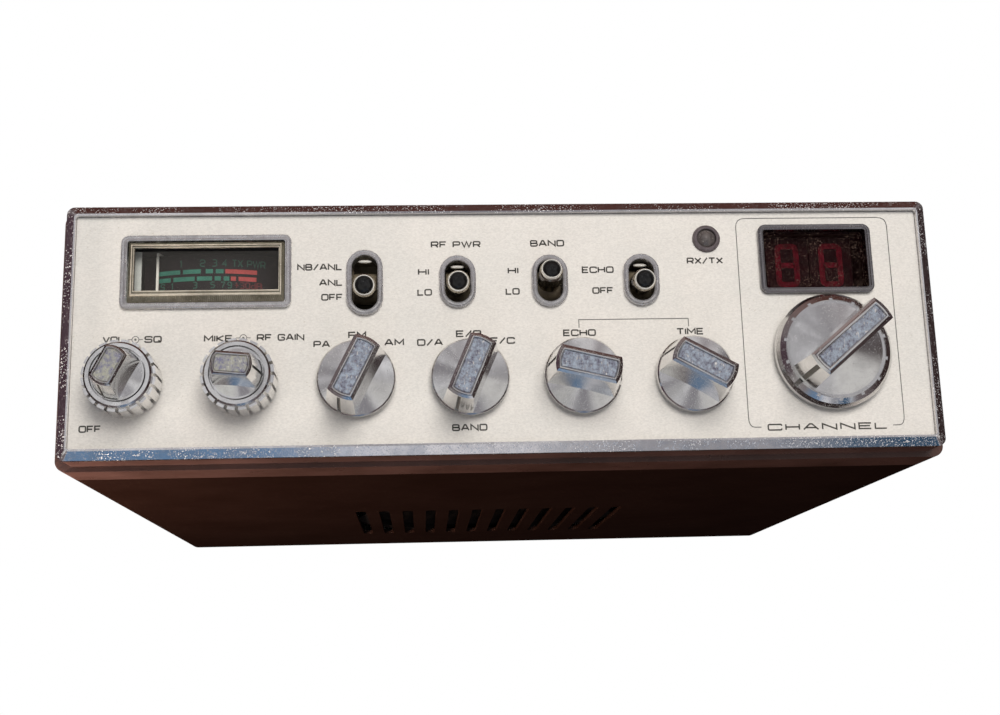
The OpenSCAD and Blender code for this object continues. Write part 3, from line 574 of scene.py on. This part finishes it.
def write(strokes, text, start, end, base, cap, width, gap=0.32):
    """Writes text between two places along a line, with its feet on base and capitals of height cap."""
    letters = [GLYPHS[c] for c in text]
    natural = sum(g[0] for g in letters) + gap * (len(letters) - 1)
    scale = (end - start) / natural
    x = start
    for glyph in letters:
        for stroke in glyph[1:]:
            rounded = stroke[0] == "round"
            points = [(x + px * glyph[0] * scale, base + py * cap) for px, py in stroke[1 if rounded else 0:]]
            if rounded:
                points = rounded_line(points, 0.3 * cap)
            strokes.line(points, width)
        x += (glyph[0] + gap) * scale


# ---------------------------------------------------------------- panel legends

# Height of the capitals, and widths of their strokes and of the ruled lines
CAP = 1.25
INK = 0.33
RULE_W = 0.2
FINE_RULE_W = 0.16
# Each legend, where it starts and ends across the panel, and how high its feet are
LEGENDS = [
    ("VOL", -89.0, -84.6, 27.4), ("SQ", -79.9, -76.4, 27.4), ("OFF", -93.4, -88.9, 7.5),
    ("MIKE", -66.9, -60.9, 27.4), ("RF GAIN", -55.3, -45.1, 27.5),
    ("NB/ANL", -46.5, -36.7, 43.65), ("ANL", -41.6, -36.6, 40.0), ("OFF", -41.1, -36.6, 36.6),
    ("RF PWR", -16.4, -5.4, 48.7), ("HI", -19.4, -17.2, 42.3), ("LO", -19.6, -16.6, 37.5),
    ("BAND", 6.2, 13.7, 48.8), ("HI", 0.9, 3.05, 42.4), ("LO", 0.3, 3.2, 37.5),
    ("ECHO", 17.8, 24.8, 42.4), ("OFF", 20.0, 24.5, 37.5), ("RX/TX", 42.0, 50.1, 44.3),
    ("PA", -42.8, -39.4, 25.8), ("FM", -35.1, -31.4, 27.8), ("AM", -27.1, -23.0, 26.0),
    ("D/A", -19.8, -14.3, 25.9), ("E/B", -11.1, -5.6, 27.8), ("F/C", -3.4, 1.8, 26.1),
    ("BAND", -12.35, -4.85, 6.5), ("ECHO", 13.0, 20.1, 27.7), ("TIME", 38.7, 44.6, 27.7),
    ("CHANNEL", 58.0, 84.9, 5.4),
]


legends = Strokes(panel_point)
for words, left, right, foot in LEGENDS:
    write(legends, words, left, right, foot, CAP, INK)
legends.make("panel_legends", LEGEND, "cabinet")

rules = Strokes(panel_point)
# Box round the display and the channel knob, open where its legend stands
OUTLINE = [(56.5, 6.1), (53.7, 6.1), (53.7, 55.0), (89.1, 55.0), (89.1, 6.1), (86.4, 6.1)]
rules.line(rounded_line(OUTLINE, 2.2), RULE_W)
# Bracket that joins the two echo controls
rules.line([(16.5, 29.5), (16.5, 31.35), (41.4, 31.35), (41.4, 29.5)], RULE_W)
# Symbols of the concentric controls: a dot in a ring, with a dash to each side
SYMBOL_R, DOT_R, DASH_END = 0.75, 0.13, 1.6
for x, z in ((-82.0, 28.0), (-58.4, 28.1)):
    rules.line(circle(x, z, SYMBOL_R, 15), FINE_RULE_W, closed=True)
    rules.line(circle(x, z, DOT_R, 60), 2 * DOT_R, closed=True)
    for side in (-1, 1):
        rules.line([(x + side * SYMBOL_R, z), (x + side * DASH_END, z)], FINE_RULE_W)
rules.make("panel_rules", RULE, "cabinet")


# ---------------------------------------------------------------- knobs' inlays

def bar_top(node):
    """Centre, direction and half sizes, in millimetres, of the flat top of a knob's finger bar."""
    low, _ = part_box(node)
    top = [v.co for v in NODES[node].data.vertices if v.co.y < low.y + 0.02 * MM]
    cx, cz = centre_of(node)
    flat = [(v.x / MM - cx, v.z / MM - cz) for v in top]
    sxx = sum(x * x for x, _ in flat)
    szz = sum(z * z for _, z in flat)
    sxz = sum(x * z for x, z in flat)
    angle = 0.5 * math.atan2(2 * sxz, sxx - szz)
    along = (math.cos(angle), math.sin(angle))
    across = (-along[1], along[0])
    half_l = max(x * along[0] + z * along[1] for x, z in flat)
    half_w = max(x * across[0] + z * across[1] for x, z in flat)
    return (cx, cz), along, across, half_l, half_w, (FACE_Y - low.y) / MM


def bar_outline(long, wide, steps=8):
    """Outline of a finger bar's top: straight sides, and ends that follow the knob's round edge."""
    ends = []
    for i in range(steps + 1):
        v = -wide + 2 * wide * i / steps
        ends.append((math.sqrt(max(long * long - v * v, 0.01)), v))
    return ends + [(-u, -v) for u, v in ends]


def moulding(name, outline, place, section, material, body):
    """A closed band that follows outline(inset), with a section of (inset, height) in millimetres."""
    vertices, faces = [], []
    layers = len(section)
    for inset, height in section:
        ring = outline(inset)
        count = len(ring)
        vertices += [place(u, v, height) for u, v in ring]
    for r in range(layers):
        for i in range(count):
            j = (i + 1) % count
            s = (r + 1) % layers
            faces.append((r * count + i, r * count + j, s * count + j, s * count + i))
    made = piece(name, vertices, faces, material, body, smooth=True)
    outward(made)
    edges = made.modifiers.new("split", "EDGE_SPLIT")
    edges.split_angle = math.radians(60)


def bar_rim(node, body, width):
    """Rounded rim of plating along the edge of a finger bar's top."""
    (cx, cz), along, across, half_l, half_w, top = bar_top(node)
    section = [(-0.22, -0.34), (-0.16, -0.10), (-0.02, 0.06), (0.3 * width, 0.15), (0.6 * width, 0.13),
               (0.85 * width, 0.02), (width, -0.16), (width, -0.36)]

    def place(u, v, height):
        return panel_point(cx + u * along[0] + v * across[0], cz + u * along[1] + v * across[1], top + height)

    moulding(f"{body}_rim", lambda inset: bar_outline(half_l - inset, half_w - inset), place, section,
             KNOB_CHROME, body)


def rounded_rectangle(half_w, half_h, radius, steps=8):
    """Outline of a rectangle with round corners."""
    points = []
    for k, (sx, sz) in enumerate(((1, 1), (-1, 1), (-1, -1), (1, -1))):
        for i in range(steps + 1):
            a = math.pi / 2 * (k + i / steps)
            points.append((sx * (half_w - radius) + radius * math.cos(a),
                           sz * (half_h - radius) + radius * math.sin(a)))
    return points


def surround(name, node, centre, half_w, half_h, radius, width, material):
    """Rolled edges and hollow between them, on the flat front of a frame round an opening."""
    top = (FACE_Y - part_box(node)[0].y) / MM
    section = [(0.0, -0.25), (0.03, -0.02), (0.14, 0.10), (0.30, 0.07), (0.42, -0.01), (width - 0.45, 0.01),
               (width - 0.3, 0.09), (width - 0.14, 0.10), (width - 0.02, -0.05), (width - 0.02, -0.25)]

    def outline(inset):
        return rounded_rectangle(half_w - inset, half_h - inset, max(radius - inset, 0.3))

    moulding(name, outline, lambda u, v, h: panel_point(centre[0] + u, centre[1] + v, top + h), section,
             material, "cabinet")


def inlay(node, body, edge, material, pocket=0.4):
    """The satin plate let into the top of a finger bar: ends follow the knob's round edge."""
    (cx, cz), along, across, half_l, half_w, top = bar_top(node)
    long, wide = half_l - edge, half_w - edge
    rings = []
    for inset, height in ((0.0, -pocket + 0.02), (0.0, -0.16), (0.14, -0.02), (0.5, 0.02)):
        rings.append([(u, v, height) for u, v in bar_outline(long - inset, wide - inset)])
    vertices, faces = [], []
    count = len(rings[0])
    for ring in rings:
        for u, v, height in ring:
            vertices.append(panel_point(cx + u * along[0] + v * across[0],
                                        cz + u * along[1] + v * across[1], top + height))
    for r in range(len(rings) - 1):
        for i in range(count):
            j = (i + 1) % count
            faces.append((r * count + i, r * count + j, (r + 1) * count + j, (r + 1) * count + i))
    faces.append(tuple(range(count))[::-1])
    faces.append(tuple((len(rings) - 1) * count + i for i in range(count)))
    made = piece(f"{body}_inlay", vertices, faces, material, body)
    outward(made)


def pointer_groove_shade(node, body, foot, radius, width):
    """Dark sheet in the pointer groove at each end of a finger bar, from a foot of (height, radius) up:
    painted shade for the groove's depth.
    """
    (cx, cz), along, across, _, _, top = bar_top(node)
    vertices, faces = [], []
    for side in (1, -1):
        first = len(vertices)
        for height, r in ((foot[0] + 0.1, foot[1]), (top - 0.9, radius)):
            for deep in (0.46, 0.34):
                for v in (-width / 2, width / 2):
                    u = side * (r - deep)
                    vertices.append(panel_point(cx + u * along[0] + v * across[0],
                                                cz + u * along[1] + v * across[1], height))
        faces += [tuple(first + k for k in face) for face in BOX_FACES]
    # Painted shade in the groove, in the legends' dark ink
    made = piece(f"{body}_pointer_shade", vertices, faces, LEGEND, body)
    outward(made)


# For each kind of knob: its pointer groove's foot, radius at the top and width, its rim and its inlay
DUAL = ((9.8, 5.6), 4.35, 0.45, 0.3, PALE_INLAY)
SINGLE = ((2.9, 8.3), 7.2, 0.65, 0.42, INLAY)
LARGE = ((4.2, 10.8), 10.1, 1.1, 0.6, INLAY)
INLAY_GAP = 0.06
for node, body, kind in (("volume_knob", "volume", DUAL), ("mic_gain_knob", "mic_gain", DUAL),
                         ("mode_knob", "mode", SINGLE), ("band_knob", "band", SINGLE),
                         ("echo_knob", "echo", SINGLE), ("time_knob", "echo_time", SINGLE),
                         ("channel_knob", "channel", LARGE)):
    groove_foot, groove_r, groove_w, rim, plate = kind
    pointer_groove_shade(node, body, groove_foot, groove_r, groove_w)
    bar_rim(node, body, rim)
    inlay(node, body, rim + INLAY_GAP, plate)


# ---------------------------------------------------------------- toggle levers' tips

def lever_tip(node, body, joint):
    """Glossy black dome and bright collar on a chrome lever, and the rocker that it stands on. The collar's
    brightness is a painted highlight on the lever's rim.
    """
    pivot = Vector(JOINTS[joint]["pos_m"])
    far = max(((v.co - pivot).length for v in NODES[node].data.vertices))
    tip = [v.co for v in NODES[node].data.vertices if (v.co - pivot).length > far - 0.08 * MM]
    middle = sum(tip, Vector()) / len(tip)
    middle.x = pivot.x
    direction = (middle - pivot).normalized()
    top = pivot + direction * max((v.co - pivot).dot(direction) for v in NODES[node].data.vertices)
    dome = [(1.6, -1.2), (1.93, -0.9), (1.96, -0.36), (1.86, -0.10), (1.58, 0.10), (1.10, 0.26),
            (0.55, 0.34), (0.0, 0.36)]
    lathe(f"{body}_tip", dome, top, direction, LEVER_BLACK, body)
    ring = [(1.95, -1.0), (1.99, -0.30), (2.06, -0.12), (2.18, -0.08), (2.28, -0.20), (2.33, -0.6),
            (2.34, -1.2)]
    lathe(f"{body}_collar", ring, top, direction, HIGHLIGHT_CHROME, body)
    rocker = [(0.0, -2.6), (3.3, -2.6), (3.5, -2.45), (3.5, 2.45), (3.3, 2.6), (0.0, 2.6)]
    lathe(f"{body}_rocker", rocker, pivot, Vector((1, 0, 0)), BRONZE, body)


# Half length of each toggle's slot, and how far its flange goes beyond it
SLOT_HALVES = {"noise": 6.42, "power": 4.92, "band": 4.92, "echo": 4.92}
FLANGE = 1.12
slot_middle = centre_of("switch_bezels")[1]

for toggle in SLOT_HALVES:
    lever_tip(f"{toggle}_lever", f"{toggle}_switch", f"{toggle}_switch_tilt")

# A bright rod across the top of each toggle's slot: a painted highlight, the pale line at the top of the slot
HIGHLIGHT_ROD = [(0.0, -1.6), (0.22, -1.4), (0.37, -0.8), (0.4, 0.0), (0.37, 0.8), (0.22, 1.4), (0.0, 1.6)]
ROD_DOWN, ROD_DEEP = 1.1, 0.9
for toggle, half in SLOT_HALVES.items():
    rod_centre = panel_point(centre_of(f"{toggle}_lever")[0], slot_middle + half - ROD_DOWN, -ROD_DEEP)
    lathe(f"{toggle}_switch_highlight_rod", HIGHLIGHT_ROD, rod_centre, Vector((1, 0, 0)), HIGHLIGHT_CHROME, "cabinet", 24)

# Rolled surrounds of the toggles' slots, the meter and the display
for toggle, half in SLOT_HALVES.items():
    slot_centre = (centre_of(f"{toggle}_lever")[0], slot_middle)
    surround(f"{toggle}_surround", "switch_bezels", slot_centre, 4.05, half + FLANGE, 4.04, 1.1,
             FRAME_CHROME)
surround("meter_surround", "meter_bezel", centre_of("meter_bezel"), 18.85, 8.42, 1.6, 1.2,
         FRAME_CHROME)
surround("display_surround", "display_bezel", centre_of("display_bezel"), 13.1, 8.15, 1.8, 1.1,
         DARK_CHROME)


# ---------------------------------------------------------------- meter

needle_pivot = Vector(JOINTS["needle_swing"]["pos_m"])
DIAL_R = (needle_pivot.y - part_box("meter_dial")[0].y) / MM


def dial_surface(along, z, height):
    """A point on the curved dial: millimetres along its curve from its middle, and millimetres up."""
    a = along / DIAL_R
    r = (DIAL_R + 0.02 + height) * MM
    return Vector((needle_pivot.x + r * math.sin(a), needle_pivot.y - r * math.cos(a), z * MM))


def arc(degrees):
    """Millimetres along the dial's curve for an angle about the needle's pivot."""
    return math.radians(degrees) * DIAL_R


def dial_bars(name, spans, z, material):
    """A row of bars, each from one angle to another."""
    row = Strokes(dial_surface, 0.04)
    for start, end in spans:
        steps = max(2, int((end - start) / 1.5))
        row.line([(arc(start + (end - start) * i / steps), z) for i in range(steps + 1)], 1.0)
    row.make(name, material, "cabinet")


UPPER_Z, LOWER_Z = 44.85, 43.15
dial_bars("dial_upper_green", [(-20.5, -11.4), (-10.3, -3.4), (-1.5, 1.2), (2.3, 5.2)], UPPER_Z,
          DIAL_GREEN)
dial_bars("dial_upper_red", [(5.9, 17.9)], UPPER_Z, DIAL_RED)
dial_bars("dial_lower_green", [(-20.5, -15.2), (-14.1, -5.7), (-4.8, 0.9), (1.9, 4.2), (5.3, 7.4)],
          LOWER_Z, DIAL_GREEN)
dial_bars("dial_lower_red", [(8.0, 9.9), (10.9, 17.7)], LOWER_Z, DIAL_RED)


def dial_words(name, words, base, cap, material):
    strokes = Strokes(dial_surface, 0.04)
    for text, start, end in words:
        write(strokes, text, arc(start), arc(end), base, cap, 0.26)
    strokes.make(name, material, "cabinet")


dial_words("dial_upper_numbers", [("1", -11.6, -11.1), ("2", -3.6, -1.9), ("3", 1.0, 2.6), ("4", 4.8, 6.4),
                                  ("TX", 8.5, 12.3), ("PWR", 14.2, 21.0)], 46.05, 1.5, DIAL_PALE_GREEN)
dial_words("dial_lower_numbers", [("S", -19.2, -17.7), ("1", -14.9, -14.4), ("3", -6.2, -4.8),
                                  ("5", 0.5, 1.9), ("7", 4.3, 5.7), ("9", 6.9, 8.3)],
           40.95, 1.35, DIAL_PALE_GREEN)
dial_words("dial_over_numbers", [("+30dB", 9.6, 19.8)], 40.95, 1.35, DIAL_DARK_RED)


def slab(name, x, y, z, material, body, rounding=0.2):
    """A block between limits in metres, with its edges rounded."""
    corners = [Vector((x[i], y[j], z[k])) for i in (0, 1) for j in (0, 1) for k in (0, 1)]
    made = piece(name, corners, BOX_FACES, material, body)
    bevel = made.modifiers.new("round", "BEVEL")
    bevel.width = rounding * MM
    bevel.segments = 3
    return made


# White light guide at the left end of the dial
guide_x = needle_pivot.x - 16.9 * MM
meter_z = centre_of("meter_bezel")[1]
slab("meter_light_guide", (guide_x, guide_x + 1.6 * MM), (FACE_Y + 4.4 * MM, FACE_Y + 4.9 * MM),
     ((meter_z - 6.4) * MM, (meter_z + 6.4) * MM), LIGHT_GUIDE, "cabinet")


def lens_margin(name, profile, material, ribbed):
    """One band of the lens's bevelled margin, from a profile of (share of the margin, height)."""
    outer = (-17.35, 17.35, -7.0, 7.0)
    inner = (-15.95, 16.05, -4.30, 5.60)
    cx, cz = centre_of("meter_bezel")
    vertices, faces = [], []
    n = len(profile)
    for corner, following in (((0, 2), (1, 2)), ((1, 2), (1, 3)), ((1, 3), (0, 3)), ((0, 3), (0, 2))):
        steps = 150 if corner[1] == following[1] else 60
        first = len(vertices)
        for i in range(steps + 1):
            t = i / steps
            for share, height in profile:
                ends = [[outer[k] + (inner[k] - outer[k]) * share for k in pair]
                        for pair in (corner, following)]
                x, z = (ends[0][c] * (1 - t) + ends[1][c] * t for c in (0, 1))
                rib = 0.10 if ribbed and i % 2 else 0
                vertices.append(panel_point(cx + x, cz + z, height - rib))
        for i in range(steps):
            for k in range(n - 1):
                a = first + i * n + k
                faces.append((a, a + n, a + n + 1, a + 1))
    made = piece(name, vertices, faces, material, "cabinet")
    solid = made.modifiers.new("wall", "SOLIDIFY")
    solid.thickness = 0.12 * MM
    solid.offset = -1


lens_margin("meter_lens_ribs", [(0.0, 0.2), (0.04, 0.4), (0.50, 1.15)], MARGIN, True)
# The ledge and the rim take the lighter plastic, a painted highlight
lens_margin("meter_lens_ledge", [(0.50, 1.12), (0.56, 1.28), (0.68, 1.28), (0.72, 1.05)], LEDGE_HIGHLIGHT, False)
lens_margin("meter_lens_step", [(0.72, 1.05), (0.76, 0.85), (0.86, 0.85)], MARGIN, False)
lens_margin("meter_lens_rim", [(0.86, 0.85), (0.88, 1.0), (0.97, 1.0), (1.0, 0.2)], LEDGE_HIGHLIGHT, False)


def pane(name, node, half, height, thickness, material, replaced):
    cx, cz = centre_of(node)
    low = panel_point(cx - half[0], cz - half[1], height)
    high = panel_point(cx + half[0], cz + half[1], height - thickness)
    made = slab(name, (low.x, high.x), (low.y, high.y), (low.z, high.z), material, "cabinet", 0.05)
    if replaced:
        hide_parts(replaced)
    return made


pane("meter_pane", "meter_bezel", (16.3, 4.9), 0.3, 0.35, LENS, "meter_lens")


# ---------------------------------------------------------------- channel display

def digits():
    """Two seven-segment eights behind the red window, unlit."""
    low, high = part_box("digit_modules")
    depth = (FACE_Y - low.y) / MM
    cx, cz = (low.x + high.x) / 2 / MM, (low.z + high.z) / 2 / MM
    strokes = Strokes(lambda x, z, h: panel_point(x, z, depth + 0.02 + h), 0.05)
    half_w, half_h, width = 2.15, 4.6, 1.3
    for x in (cx - 5.15, cx + 5.15):
        ring = [(x - half_w, cz - half_h), (x + half_w, cz - half_h), (x + half_w, cz + half_h),
                (x - half_w, cz + half_h)]
        strokes.line(rounded_line(ring, 1.0, closed=True), width, closed=True)
        strokes.line([(x - half_w + 0.4, cz), (x + half_w - 0.4, cz)], width)
    strokes.make("display_segments", SEGMENT, "cabinet")


digits()


# ---------------------------------------------------------------- edges

soften("bezel_trim", 0.15)
soften("front_bezel", 0.5)
soften("lamp_bezel", 0.35)


# ---------------------------------------------------------------- stage, lights and camera

def camera():
    """The photograph's viewpoint, measured from the middle of the front lip."""
    from_lip = Vector((-0.0195, -0.2979, -0.0458))
    yaw, pitch, roll = math.radians(-3.44), math.radians(12.9), math.radians(1.55)
    data = bpy.data.cameras.new("camera")
    data.lens = 49.57
    data.sensor_width = 36
    data.clip_start = 0.01
    made = bpy.data.objects.new("camera", data)
    bpy.context.scene.collection.objects.link(made)
    made.matrix_world = (Matrix.Translation(Vector((0, LIP_Y, 0)) + from_lip)
                         @ Matrix.Rotation(yaw, 4, "Z") @ Matrix.Rotation(math.pi / 2 + pitch, 4, "X")
                         @ Matrix.Rotation(-roll, 4, "Z"))
    bpy.context.scene.camera = made


def area_light(name, place, aim, size, power, colour, mirrored):
    data = bpy.data.lights.new(name, "AREA")
    data.size = size
    data.energy = power
    data.color = colour
    made = bpy.data.objects.new(name, data)
    bpy.context.scene.collection.objects.link(made)
    place, aim = Vector(place), Vector(aim)
    made.location = place
    made.rotation_euler = (aim - place).to_track_quat("-Z", "Y").to_euler()
    made.visible_glossy = mirrored


def floor():
    """A pale floor that can be seen from above only, because the camera looks up from under it.

    It gives off some light of its own, so that its far part is about as pale as its near part.
    """
    shader = Shader("floor")
    shader.set("Base Color", (0.26, 0.258, 0.253, 1))
    shader.set("Roughness", 0.9)
    shader.set("Emission Color", (0.86, 0.855, 0.845, 1))
    shader.set("Emission Strength", 1.0)
    tree = shader.tree
    clear = tree.nodes.new("ShaderNodeBsdfTransparent")
    blend = tree.nodes.new("ShaderNodeMixShader")
    side = tree.nodes.new("ShaderNodeNewGeometry")
    out = tree.nodes["Material Output"]
    tree.links.new(side.outputs["Backfacing"], blend.inputs[0])
    tree.links.new(shader.bsdf.outputs[0], blend.inputs[1])
    tree.links.new(clear.outputs[0], blend.inputs[2])
    tree.links.new(blend.outputs[0], out.inputs["Surface"])
    half = 6.0
    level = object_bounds()[0].z - 0.0005
    mesh = bpy.data.meshes.new("floor")
    corners = [(-half, -half, level), (half, -half, level), (half, half, level), (-half, half, level)]
    mesh.from_pydata(corners, [], [(0, 1, 2, 3)])
    mesh.materials.append(shader.material)
    made = bpy.data.objects.new("floor", mesh)
    bpy.context.scene.collection.objects.link(made)
    # The floor gets the object's shadow, and leaves the light on the underside alone
    made.visible_diffuse = False
    made.visible_glossy = False
    made.visible_shadow = False
    made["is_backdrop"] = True


def world():
    """Pale backdrop. What plating mirrors is sky below the front, grey above it and dark brown behind."""
    made = bpy.data.worlds.new("studio")
    bpy.context.scene.world = made
    made.use_nodes = True
    tree = made.node_tree
    tree.nodes.clear()
    coord = tree.nodes.new("ShaderNodeTexCoord").outputs["Generated"]

    def lobe(direction, low, high):
        """1 near a direction and 0 away from it."""
        dot = tree.nodes.new("ShaderNodeVectorMath")
        dot.operation = "DOT_PRODUCT"
        tree.links.new(coord, dot.inputs[0])
        dot.inputs[1].default_value = Vector(direction).normalized()
        return map_range(tree, dot.outputs["Value"], (low, high), kind="SMOOTHSTEP")

    def patches(scale, low, high):
        """0 and 1 in soft patches."""
        noise = tree.nodes.new("ShaderNodeTexNoise")
        tree.links.new(coord, noise.inputs["Vector"])
        noise.inputs["Scale"].default_value = scale
        return map_range(tree, noise.outputs["Fac"], (low, high))

    room = (0.17, 0.14, 0.145)
    behind = (0.012, 0.0050, 0.0035)
    front = mix_colours(tree, patches(4.5, 0.38, 0.62), (0.24, 0.23, 0.25), (0.76, 0.76, 0.78))
    sky = mix_colours(tree, patches(3.2, 0.45, 0.56), (0.13, 0.23, 0.38), (0.60, 0.63, 0.68))
    colour = mix_colours(tree, lobe((0, 1, 0), -0.35, 0.15), room, behind)
    # Each region's direction, where it begins and is full as a cosine, and its colour; later ones cover
    for direction, low, high, region in (
            ((0, 0, 1), 0.72, 0.92, (0.085, 0.036, 0.030)),
            ((0, -0.72, 0.69), 0.80, 0.95, (0.31, 0.235, 0.225)),
            ((0, -1, 0.12), 0.55, 0.92, front),
            ((0.1, -0.60, -0.79), 0.84, 0.94, sky),
            ((0.06, -0.62, -0.78), 0.982, 0.997, (0.72, 0.71, 0.74)),
            ((0.20, -0.61, -0.77), 0.988, 0.998, (0.34, 0.33, 0.345)),
            ((0.38, -0.575, -0.725), 0.9895, 0.9965, (0.020, 0.062, 0.115)),
            ((0.9, -0.44, 0.05), 0.80, 0.93, (0.040, 0.025, 0.025)),
            ((-0.9, -0.44, 0.0), 0.80, 0.93, (0.075, 0.045, 0.058)),
            ((0.50, -0.85, -0.15), 0.93, 0.985, (0.62, 0.61, 0.60)),
            ((-0.40, -0.86, -0.30), 0.93, 0.985, (0.62, 0.62, 0.60))):
        colour = mix_colours(tree, lobe(direction, low, high), colour, region)
    soft = tree.nodes.new("ShaderNodeBackground")
    tree.links.new(colour, soft.inputs["Color"])
    plain = tree.nodes.new("ShaderNodeBackground")
    plain.inputs["Color"].default_value = (1, 1, 1, 1)
    path = tree.nodes.new("ShaderNodeLightPath")
    blend = tree.nodes.new("ShaderNodeMixShader")
    out = tree.nodes.new("ShaderNodeOutputWorld")
    tree.links.new(path.outputs["Is Camera Ray"], blend.inputs[0])
    tree.links.new(soft.outputs[0], blend.inputs[1])
    tree.links.new(plain.outputs[0], blend.inputs[2])
    tree.links.new(blend.outputs[0], out.inputs["Surface"])


camera()
floor()
world()
area_light("key", (0.10, -1.0, 0.36), (-0.02, -0.10, 0.03), 0.5, 9.6, (1.0, 0.965, 0.925), False)
area_light("side", (-0.22, -0.09, -0.08), (-0.09, -0.02, 0.0), 0.08, 1.3, (1.0, 0.88, 0.80), False)
area_light("under", (0.1, -0.2, -0.8), (0.0, 0.0, 0.0), 0.6, 0.12, (1.0, 0.80, 0.68), False)
area_light("rear", (0.5, 0.9, 0.8), (0, 0.05, 0.03), 0.8, 11.0, (1.0, 1.0, 1.0), True)
bpy.context.scene.view_settings.view_transform = "Standard"
